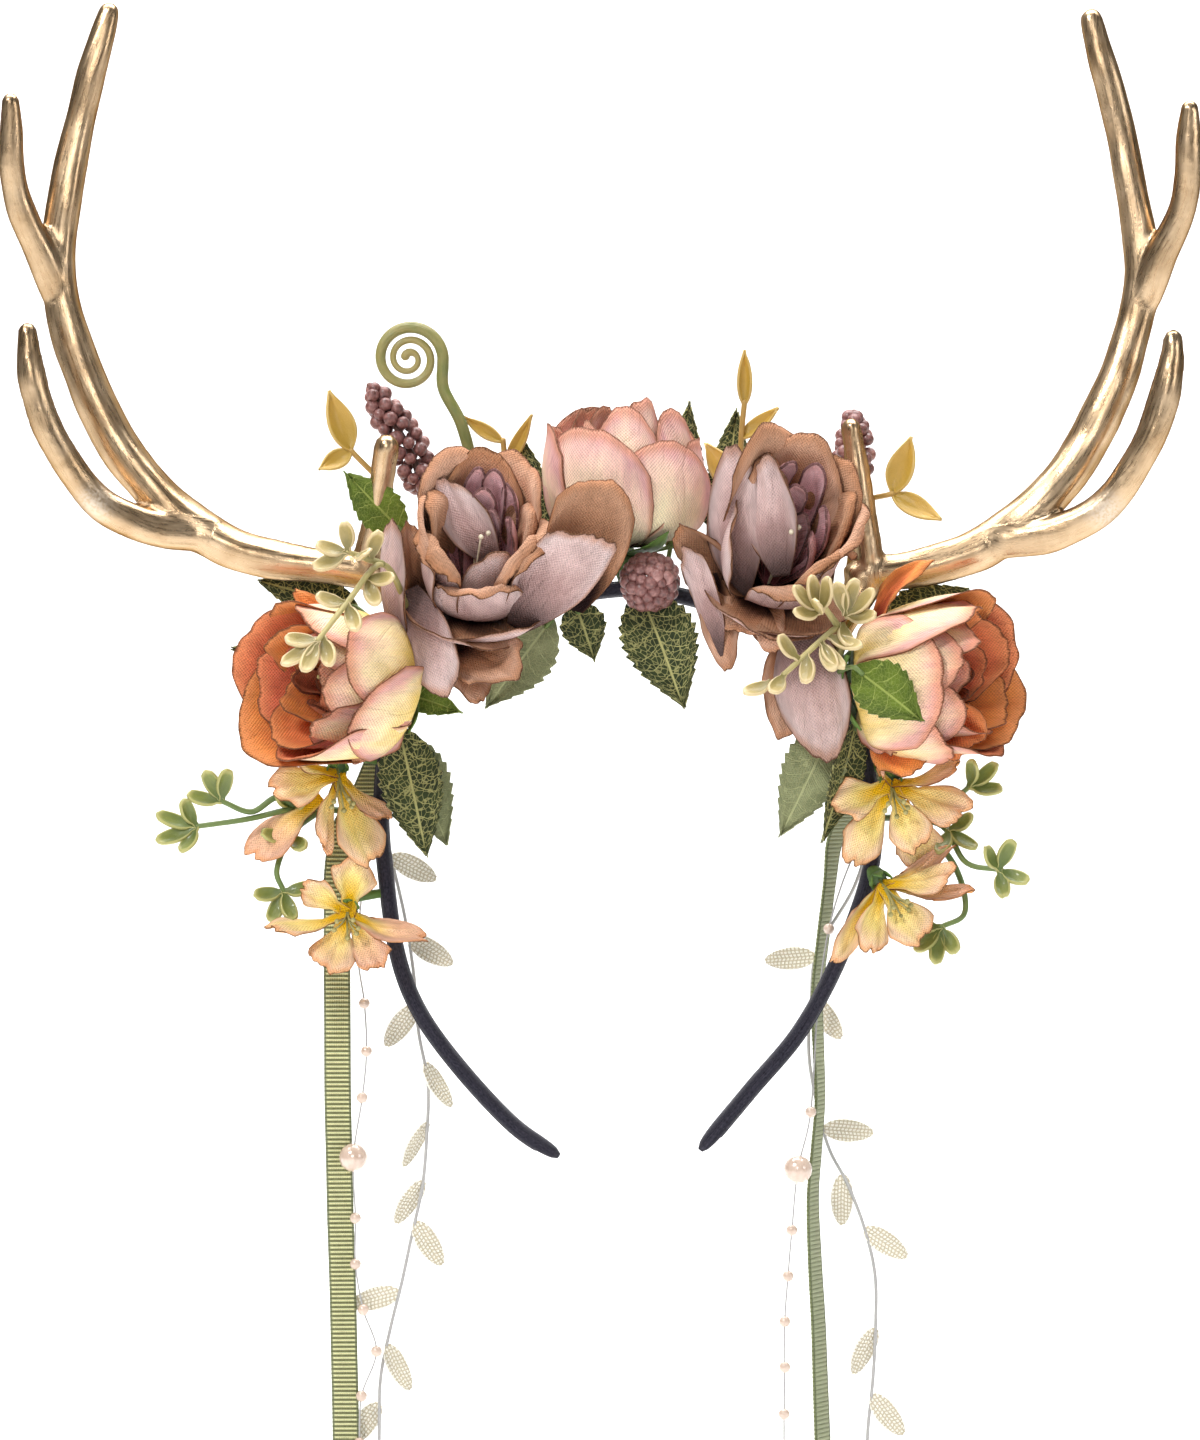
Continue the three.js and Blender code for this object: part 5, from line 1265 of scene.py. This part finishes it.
def make_leaf(row, number):
    """A toothed silk leaf and its stalk."""
    foot = xyz(row)
    tip = tip_of(row)
    teeth = max(6, round(np.linalg.norm(tip - foot) / LEAF_TOOTH))
    shape = Shape()
    blade(
        shape, foot, tip, face_of(row), row.width, wrap=36, sag=row.sag, outline=leaf_outline, ruffle=0.8,
        fold=-0.9, teeth=teeth, tooth=0.16, thickness=LEAF_THICKNESS, rows=teeth * 5 + 1, columns=17,
        number=number)
    shape.look = 1
    root = band_point_near(foot)
    way = unit(tip - foot)
    shape.stem(smooth_line([root, (root + foot) / 2 - way, foot, foot + way * 3], 14), 0.7, 8)
    make_piece(row.name, shape, [row.look, stem_green], "leaf_green", row.name)


# Sprigs: thin branches that end in rosettes of small spoon leaves

BRANCHES = {
    "sprig_pale_left": [
        places((-58, 0, -20), (-61, -16, -4), (-67, -36, 8), (-76, -47, -3), (-83.2, -54, -13)),
        places((-67, -36, 8), (-76, -42, 11)),
    ],
    "sprig_pale_right": [
        places((57, 0, -22), (59, -20, -14), (57, -34, -9), (42, -40, -22)),
        places((57, -34, -9), (53, -40, -4)),
    ],
    "sprig_green_left": [
        places((-69, 0, -62), (-80, 4, -60), (-92, 0, -59), (-106, -6, -62), (-120, -8, -64)),
        places((-92, 0, -59), (-98, -4, -56), (-105, -6, -60), (-113, -8, -57)),
        places((-86, 3, -59.4), (-94, 2, -66), (-98, -4, -76), (-96, -6, -82)),
    ],
    "sprig_green_right": [
        places((68, 0, -62), (76, 5, -62), (88, 2, -64), (94, -6, -74), (103, -10, -76)),
        places((82, 4.4, -62.6), (90, 2, -58), (95, -6, -53)),
        places((82, 4.4, -62.6), (92, 3, -76), (94, -4, -88), (87, -8, -92)),
    ],
}
# Leaves of the sprigs: each group is a foot on a branch and the tips of the leaves that grow there
SPRIG_LEAVES = {
    "sprig_pale_left": (
        ((-83.2, -54, -13), (-92.7, -57, -19.5), (-86.8, -58, -21.5)), ((-82, -53, -12), (-79.8, -56, -20)),
        ((-83.2, -54, -13), (-92, -55, -12.5)), ((-76, -47, -3), (-84, -50, -1), (-73, -51, -10.5)),
        ((-76, -42, 11), (-85, -46, 6.5), (-84.5, -44, 13), (-76.5, -47, 19)),
        ((-70, -38, 9), (-67.5, -44, 16.5)), ((-71, -40, 4), (-63.5, -45, 4), (-68, -46, -3.5)),
        ((-74, -41, 10), (-70, -47, 11))),
    "sprig_pale_right": (
        ((52, -40, -5), (44.4, -45, 1.5), (49, -44, 4.5),
         (53.6, -46, 4), (44.6, -46, -5.5), (50.5, -48, -2.5)),
        ((59, -33, -6), (56.4, -38, 3), (61.5, -38, 4), (66.5, -38, 1), (67, -38, -6)),
        ((58, -34, -8), (60, -40, -14.5)), ((38.5, -40, -24), (31, -43, -27)),
        ((42, -40, -22), (38.5, -45, -27)), ((46, -39, -18), (40.5, -42, -11.5)),
        ((48, -38, -16), (48, -43, -24.5)), ((52, -37, -13), (58, -42, -20.5)),
        ((54, -36, -11.5), (63, -41, -14.5)), ((52, -37, -13), (55.5, -43, -21))),
    "sprig_green_left": (
        ((-120, -8, -64), (-131, -10, -60.5), (-131, -11, -68), (-124, -12, -71), (-123.5, -11, -56.5)),
        ((-113, -8, -57), (-122.5, -10, -55), (-117.5, -11, -48.5), (-111, -12, -48)),
        ((-94, 0, -59), (-98, -7, -53.5), (-89, -7, -55)), ((-95, 0, -67), (-102, -6, -66), (-90, -6, -70)),
        ((-96, -6, -82), (-99.5, -9, -90.5), (-93, -10, -90), (-88, -9, -80.5), (-104, -9, -83))),
    "sprig_green_right": (
        ((95, -6, -53), (102.5, -9, -46.5), (104, -9, -53.5), (95.5, -11, -45.5)),
        ((90, 0, -65), (97, -6, -70), (96, -5, -61), (86.5, -6, -71.5)),
        ((103, -10, -76), (106.5, -13, -67.5), (111, -13, -79), (104, -14, -83.5), (99, -13, -69.5)),
        ((87, -8, -92), (77.6, -12, -90.5), (79.5, -13, -98.3), (85, -13, -102), (91, -12, -99))),
}
SPRIG_LEAF_WIDTH = 4.6


def sprig_outline(v):
    """Half width along a small moulded leaf: a short stalk and an oval blade."""
    blade_share = np.clip((v - 0.14) / 0.86, 0, 1)
    return 0.16 + 0.84 * np.sin(math.pi * (0.05 + 0.85 * blade_share ** 0.9)) ** 0.75


def make_sprig(name):
    """The branches of a moulded sprig, and its leaves."""
    shape = Shape()
    shape.look = 1
    for rows in BRANCHES[name]:
        shape.stem(route(rows, 30), np.linspace(STEM_RADIUS, STEM_RADIUS * 0.75, 30), 8)
    shape.look = 0
    leaves = [(foot, tip) for foot, *tips in SPRIG_LEAVES[name] for tip in tips]
    for i, (foot, tip) in enumerate(leaves):
        lean = 0.35 * math.sin(2.3 * i)
        blade(
            shape, foot, tip, (lean, -0.85, 0.5), SPRIG_LEAF_WIDTH, wrap=70, sag=1.0, outline=sprig_outline,
            rounding=0.1, ruffle=0.15, thickness=SPRIG_THICKNESS, rows=20, columns=11, number=(i * 0.29) % 1)
    if "pale" in name:
        make_piece(name, shape, [sprig_pale, stem_pale], "sprig_pale", name)
    else:
        make_piece(name, shape, [sprig_green, stem_green], "sprig_green", name)


# Berries set in a spiral round a stem

BERRIES = {
    "berry_spike_left": SimpleNamespace(
        stem=places((-50, 0, -16), (-51, 7.5, 2), (-59.6, 5, 37), (-72.5, 4, 59.5)),
        start=0.6, count=54, spread=4.4),
    "berry_spike_right": SimpleNamespace(
        stem=places((56.5, 0, -20), (57, 9, 4), (63, 5, 36), (63.6, 5, 52)),
        start=0.7, count=40, spread=4.4),
    "berry_cluster_centre": SimpleNamespace(
        stem=places((5, 0, 1.5), (5.5, -8, 3), (6.7, -19, 5)), start=0.42, count=64, spread=6.8),
}
GOLDEN_TURN = math.radians(137.5)


def make_berries(name, spike):
    """A stem and the berries round its upper part."""
    line = route(spike.stem, 60)
    shape = Shape()
    shape.look = 1
    shape.stem(line, STEM_RADIUS, 8)
    shape.look = 0
    for i in range(spike.count):
        share = (i + 0.5) / spike.count
        at = int((spike.start + (1 - spike.start) * share) * (len(line) - 1))
        tangent = unit(line[at] - line[at - 1])
        out = around(tangent, i * GOLDEN_TURN)
        reach = spike.spread * math.sqrt(math.sin(math.pi * (0.12 + 0.88 * share)))
        size = BERRY_RADIUS * (1.02 + 0.14 * math.sin(7 * i))
        middle = line[at] + out * reach
        shape.ball(middle, size, -out - 0.4 * tangent, sides=14, hole=6, number=(i * 0.618) % 1)
    make_piece(name, shape, [plum, stem_plum], "berry_plum", name)


# Fern tip, wax leaves and twigs

FERN_STEM = places((-43.5, 0, -10.5), (-43, 3, 10), (-43.5, 1, 34), (-46.5, -2, 48), (-51.5, -2, 58))
FERN_CURL = SimpleNamespace(x=-61.3, y=-2, z=66.6, radius=10, turns=2.5, start=-38)
CURL_POINTS = 60
FERN_POINTS = 240


def make_fern():
    """A stem that winds into a flat curl with a knob at its end."""
    share = np.linspace(0.03, 1, CURL_POINTS)
    angle = math.radians(FERN_CURL.start) + 2 * math.pi * FERN_CURL.turns * share
    reach = FERN_CURL.radius * (1 - 0.88 * share)
    across = FERN_CURL.x + reach * np.cos(angle)
    up = FERN_CURL.z + reach * np.sin(angle)
    spiral = np.column_stack([across, np.full(CURL_POINTS, FERN_CURL.y), up])
    line = smooth_line(np.vstack([[xyz(row) for row in FERN_STEM], spiral]), FERN_POINTS)
    v = np.linspace(0, 1, FERN_POINTS)
    knob = 1 + 0.55 * smoothstep(v, 0.97, 1)
    shape = Shape()
    shape.stem(line, FERN_RADIUS * (1 - 0.5 * smoothstep(v, 0.5, 1)) * knob, 14)
    make_piece("fern_curl", shape, [fern_green], "fern_green", "fern_curl")


WAX_COLUMNS = "x y z tipx tipy tipz fx fy fz width wrap"
WAX_LEAVES = {
    "wax_leaf_left": SimpleNamespace(
        stem=places((-57, 0, -21), (-57.5, 8, -8), (-62, 9, 12), (-66, 5, 28), (-77.5, 0, 41)),
        leaves=table(
            WAX_COLUMNS,
            (-77.5, 0, 41, -83.4, -3, 57.4, 0.3, -0.9, 0.2, 8.4, 70),
            (-77.5, 0, 41, -86.2, -4, 35.6, 0.2, -0.9, 0.4, 6, 70))),
    "wax_leaf_right": SimpleNamespace(
        stem=places((57.5, 0, -22), (60.5, 8.5, -6), (63, 8, 14), (65.5, 5, 26), (74, 0, 29)),
        leaves=table(
            WAX_COLUMNS,
            (74, 0, 29, 79, -3, 44.5, -0.3, -0.9, 0.2, 8.4, 70),
            (74, 0, 29, 87.4, -4, 21.6, 0, -0.9, 0.4, 7, 70))),
    "wax_leaf_top": SimpleNamespace(
        stem=places((33, 0, -5.5), (32.5, 9, 8), (31.5, 9, 30), (32, 6, 46), (32.8, 5, 55)),
        leaves=table(
            WAX_COLUMNS,
            (32.8, 5, 54, 32.8, 3, 69.2, 0, -1, 0, 4.6, 120),
            (31.5, 6.5, 45, 42, 2, 53.2, -0.2, -0.8, 0.5, 5.4, 70),
            (31.3, 9, 30, 22, 13.5, 44, 0, -1, 0, 8, 60))),
    "twig_leaf": SimpleNamespace(
        stem=places((-32, 0, -5), (-33, 7.5, 8), (-34, 6, 30), (-35, 2, 44)),
        leaves=table(
            WAX_COLUMNS,
            (-35, 2, 43.6, -46, 0, 50.5, 0, -1, 0.2, 4, 40),
            (-34.3, 4.5, 37, -27, 0, 51, 0, -1, 0.2, 4, 40))),
}


def make_wax_leaf(name, twig):
    """A wire stem and the folded leaves on it."""
    shape = Shape()
    shape.look = 1
    shape.stem(route(twig.stem, 40), STEM_RADIUS * 0.8, 8)
    shape.look = 0
    for i, leaf in enumerate(twig.leaves):
        blade(
            shape, xyz(leaf), tip_of(leaf), face_of(leaf), leaf.width, leaf.wrap, sag=0.8,
            outline=leaf_outline, ruffle=0.3, fold=-0.5, thickness=0.7, rows=24, columns=13, number=i / 5)
    make_piece(name, shape, [wax_gold, stem_gold], "wax_leaf_gold", name)


# Antlers: the limbs are joined and smoothed into one moulding, then given its lumps and grooves



def limb(*rows):
    """A table of places along a limb and its radius there."""
    return table("x y z r", *rows)


LEFT_ROOT = limb((-54.5, 0, -17, 4.4), (-58.8, 0, -4.2, 4.6), (-68, 0, 4.8, 4.7))
RIGHT_ROOT = limb((54, 0, -18, 4.4), (59.4, 0, -6.4, 4.6), (66, 0, 3, 4.7))
BEAM = limb(
    (-80.6, 0, 7.8, 4.8), (-98.3, 1, 10.4, 5.5), (-112.2, 1, 14.5, 6), (-124.7, 2, 22.3, 6.2),
    (-133.3, 2, 30.2, 5.9), (-139.2, 3, 37.1, 5.8), (-144.4, 4, 45, 5.8), (-149.2, 4, 54, 5.8),
    (-153, 4, 63, 5.8), (-156, 5, 71, 5.7), (-158.7, 5, 81, 5.5), (-160.2, 5, 92, 5.2),
    (-159.6, 5, 103, 5), (-157.7, 4, 114.5, 4.8), (-155.2, 4, 128, 4.6), (-152, 3, 141.4, 4.3),
    (-148.9, 2, 152, 4.2), (-146.6, 2, 160, 3.7), (-145.6, 2, 164, 3.2))
UPPER_TINE = limb(
    (-161, 4, 86, 4.6), (-164, 1, 95, 4.8), (-168, -2, 104, 4.4), (-170.6, -5, 112, 4.1),
    (-171.6, -8, 121, 3.8), (-171.3, -10, 130, 3.4), (-171.2, -12, 137, 2.6))
LOWER_TINE = limb(
    (-118, 1, 17.5, 5), (-131.3, -2, 18.8, 5.2), (-139.4, -4, 21.6, 5), (-146.4, -6, 25.6, 4.9),
    (-151.8, -8, 31.2, 4.6), (-156.5, -10, 38.5, 4.4), (-160.8, -12, 46.5, 4.3), (-163.4, -13, 54, 4.2),
    (-165.1, -14, 61, 4), (-166, -14, 67.5, 3.4), (-166.3, -14, 73, 2.8))
LEFT_BROW = limb((-73.6, 0, 7, 4), (-70, -6, 24.4, 3.8), (-66.9, -14, 41.2, 3.4))
RIGHT_BROW = limb((68.3, 0, 6.2, 4), (65.5, -3, 24.4, 3.8), (62.2, -6, 46.8, 3.2))
VOXEL = 0.8
LUMP_HEIGHT = 0.5
FACET_HEIGHT = 0.3
RIDGE_HEIGHT = 0.5
RIDGE_PITCH = 1.7  # how closely the ridges stand round a limb
RIDGE_DRIFT = 0.02  # how fast they change along it
FACETS = 4
FACET_DRIFT = 0.012
LUMP_PITCH = 0.085
LIMB_SAMPLES = 12  # for each point of a limb's table
HEIGHT_SMOOTHING = 16
SEAM_DEPTH = 0.3
SEAM_ANGLE = 0.09
WORN_TIP = 3.0  # length of the dark worn end of a limb
# Centre and radius of a pale patch at the left fork, rubbed paint and painted highlight
WORN_HIGHLIGHT_PATCH = np.array([-148.0, -10.0, 26.0])
WORN_HIGHLIGHT_RADIUS = 7.0


def mirrored(rows):
    """A left limb as the right antler has it."""
    return limb(*((2 * ANTLER_MIRROR_X - row.x, row.y, row.z - ANTLER_RIGHT_DROP, row.r) for row in rows))


def blended(mesh):
    """A mesh whose crossing limbs are made one skin with rounded forks."""
    carrier = bpy.data.objects.new("antler_limbs", mesh)
    bpy.context.scene.collection.objects.link(carrier)
    remesh = carrier.modifiers.new("skin", "REMESH")
    remesh.mode = "VOXEL"
    remesh.voxel_size = VOXEL * MM
    smooth = carrier.modifiers.new("fillet", "SMOOTH")
    smooth.factor = 0.5
    smooth.iterations = 8
    evaluated = carrier.evaluated_get(bpy.context.evaluated_depsgraph_get())
    skin = bpy.data.meshes.new_from_object(evaluated)
    bpy.data.objects.remove(carrier)
    return skin


def smoothed(values, edges):
    """Values at the points of a mesh, evened out along its edges."""
    count = len(values)
    degree = np.bincount(edges.ravel(), minlength=count)
    for _ in range(HEIGHT_SMOOTHING):
        pull = np.bincount(edges[:, 0], values[edges[:, 1]], count)
        pull += np.bincount(edges[:, 1], values[edges[:, 0]], count)
        values = (values + pull / degree) / 2
    return values


def antler_relief(points, lines, highlight_patch):
    """The height, the painted marks and the run of the brush at each point of an antler's skin.

    The marks are its seam, its dark tips and a pale patch that is rubbed paint and painted highlight.
    """
    spine = np.vstack([line[:, :3] for line in lines])
    ways = np.vstack([unit(np.gradient(line[:, :3], axis=0)) for line in lines])
    tips = [line[-1, :3] for line in lines]
    heights = np.empty(len(points))
    marks = np.empty((len(points), 3), dtype="float32")
    grain = np.empty((len(points), 3), dtype="float32")
    for i, point in enumerate(points):
        near = np.argmin(((spine - point) ** 2).sum(axis=1))
        off = point - spine[near]
        turn = math.atan2(off[1], off @ np.cross(ways[near], BACKWARD))
        on_ring = math.cos(turn) * RIDGE_PITCH, math.sin(turn) * RIDGE_PITCH
        ridges = noise.noise(Vector((*on_ring, near * RIDGE_DRIFT)))
        facets = math.cos(FACETS * turn + near * FACET_DRIFT)
        lump = noise.noise(Vector(point * LUMP_PITCH))
        heights[i] = LUMP_HEIGHT * lump + FACET_HEIGHT * facets + RIDGE_HEIGHT * ridges
        seam = max(0.0, 1 - min(abs(turn), math.pi - abs(turn)) / SEAM_ANGLE)
        end = min(np.linalg.norm(point - tip) for tip in tips)
        # The pale patch: rubbed paint and painted highlight
        rubbed_highlight = max(0.0, 1 - np.linalg.norm(point - highlight_patch) / WORN_HIGHLIGHT_RADIUS)
        marks[i] = seam, max(0.0, 1 - end / WORN_TIP), rubbed_highlight
        grain[i] = turn * np.linalg.norm(off), near, 0
    return heights, marks, grain


def make_antler(name, limbs, highlight_patch):
    """An antler of joined limbs, pale at a patch that is rubbed paint and painted highlight."""
    lines = [route(rows, LIMB_SAMPLES * len(rows), "r") for rows in limbs]
    rough = Shape()
    for line in lines:
        rough.stem(line[:, :3], line[:, 3], 20)
    limb_mesh = bpy.data.meshes.new(name)
    limb_mesh.from_pydata(np.vstack(rough.points) * MM, [], rough.faces)
    skin = blended(limb_mesh)
    points = np.empty(len(skin.vertices) * 3, dtype="float32")
    skin.vertices.foreach_get("co", points)
    points = points.reshape(-1, 3) / MM
    normals = np.array([vertex.normal for vertex in skin.vertices])
    edges = np.array([edge.vertices for edge in skin.edges])
    heights, marks, grain = antler_relief(points, lines, highlight_patch)
    relief = smoothed(heights, edges) - SEAM_DEPTH * marks[:, 0]
    points = points + normals * relief[:, None]
    skin.vertices.foreach_set("co", (points * MM).astype("float32").ravel())
    keep_values(skin, "place", marks)
    keep_values(skin, "cloth", grain)
    skin.materials.append(gold)
    show(name, skin, "antler_gold", name)


# Light and floor, in metres

FLOOR_Z = -0.3
BACKDROP_Y = 2.4
BACKDROP_TOP = 3.5
FLOOR_FRONT = -3.0
STAGE_HALF_WIDTH = 4.0
STAGE_SWEEP = 0.5  # radius of the curve between floor and backdrop


def make_stage():
    """A pale floor that curves up into a backdrop."""
    turn = np.radians(np.linspace(0, 90, 16))
    back = BACKDROP_Y - STAGE_SWEEP + STAGE_SWEEP * np.sin(turn)
    rise = FLOOR_Z + STAGE_SWEEP - STAGE_SWEEP * np.cos(turn)
    section = np.vstack([[FLOOR_FRONT, FLOOR_Z], np.column_stack([back, rise]), [BACKDROP_Y, BACKDROP_TOP]])
    points = [(x, y, z) for y, z in section for x in (-STAGE_HALF_WIDTH, STAGE_HALF_WIDTH)]
    faces = [(2 * i, 2 * i + 1, 2 * i + 3, 2 * i + 2) for i in range(len(section) - 1)]
    mesh = bpy.data.meshes.new("stage")
    mesh.from_pydata(points, [], faces)
    mesh.materials.append(stage_look())
    mesh.shade_smooth()
    floor = bpy.data.objects.new("stage", mesh)
    bpy.context.scene.collection.objects.link(floor)


LIGHTS = table(
    "name x y z aimx aimy aimz size power",
    ("key", -0.75, -1.0, 1.0, 0, 0, 0, 0.3, 16.4),
    ("front", -0.2, -1.6, 0.35, 0, 0, 0, 0.45, 5.2),
    ("side", 1.0, -0.7, 0.2, 0, 0, 0, 0.4, 2.5),
    ("top", 0.1, 0.0, 1.3, 0, 0, 0, 0.5, 3),
    ("backdrop", 0.0, 0.6, 1.8, 0, 1.9, 0.0, 2.0, 110))
WORLD_LIGHT = 0.1


def make_lights():
    """Soft lamps, a pale world, and plain colours in the picture."""
    for row in LIGHTS:
        data = bpy.data.lights.new(row.name, "AREA")
        data.size = row.size
        data.energy = row.power
        light = bpy.data.objects.new(row.name, data)
        light.location = (row.x, row.y, row.z)
        aim = Vector((row.aimx, row.aimy, row.aimz))
        light.rotation_euler = (aim - light.location).to_track_quat("-Z", "Y").to_euler()
        bpy.context.scene.collection.objects.link(light)
    world = bpy.data.worlds.new("studio")
    world.use_nodes = True
    world.node_tree.nodes["Background"].inputs["Color"].default_value = (1, 1, 1, 1)
    world.node_tree.nodes["Background"].inputs["Strength"].default_value = WORLD_LIGHT
    bpy.context.scene.world = world
    bpy.context.scene.view_settings.view_transform = "Standard"


make_camera()
for side_name, ribbon_rows in RIBBONS.items():
    make_ribbon(side_name, ribbon_rows)
for side_name, trim_rows in TRIMS.items():
    make_trim(side_name, trim_rows)
for side_name, bead_rows in BEAD_LINES.items():
    make_bead_string(side_name, bead_rows)
make_band()
for flower_row in FLOWERS:
    make_flower(flower_row)
    make_calyx(flower_row)
for leaf_number, leaf_row in enumerate(LEAVES):
    make_leaf(leaf_row, leaf_number / len(LEAVES))
for sprig_name in BRANCHES:
    make_sprig(sprig_name)
for spike_name, spike_rows in BERRIES.items():
    make_berries(spike_name, spike_rows)
make_fern()
for twig_name, twig_rows in WAX_LEAVES.items():
    make_wax_leaf(twig_name, twig_rows)
make_antler("antler_left", [LEFT_ROOT + BEAM, UPPER_TINE, LOWER_TINE, LEFT_BROW], WORN_HIGHLIGHT_PATCH)
right_limbs = [RIGHT_ROOT + mirrored(BEAM), mirrored(UPPER_TINE), mirrored(LOWER_TINE), RIGHT_BROW]
# The right antler's pale patch, rubbed paint and painted highlight, mirrors the left one
right_highlight_patch = WORN_HIGHLIGHT_PATCH * (-1, 1, 1) + (2 * ANTLER_MIRROR_X, 0, -ANTLER_RIGHT_DROP)
make_antler("antler_right", right_limbs, right_highlight_patch)
make_stage()
make_lights()
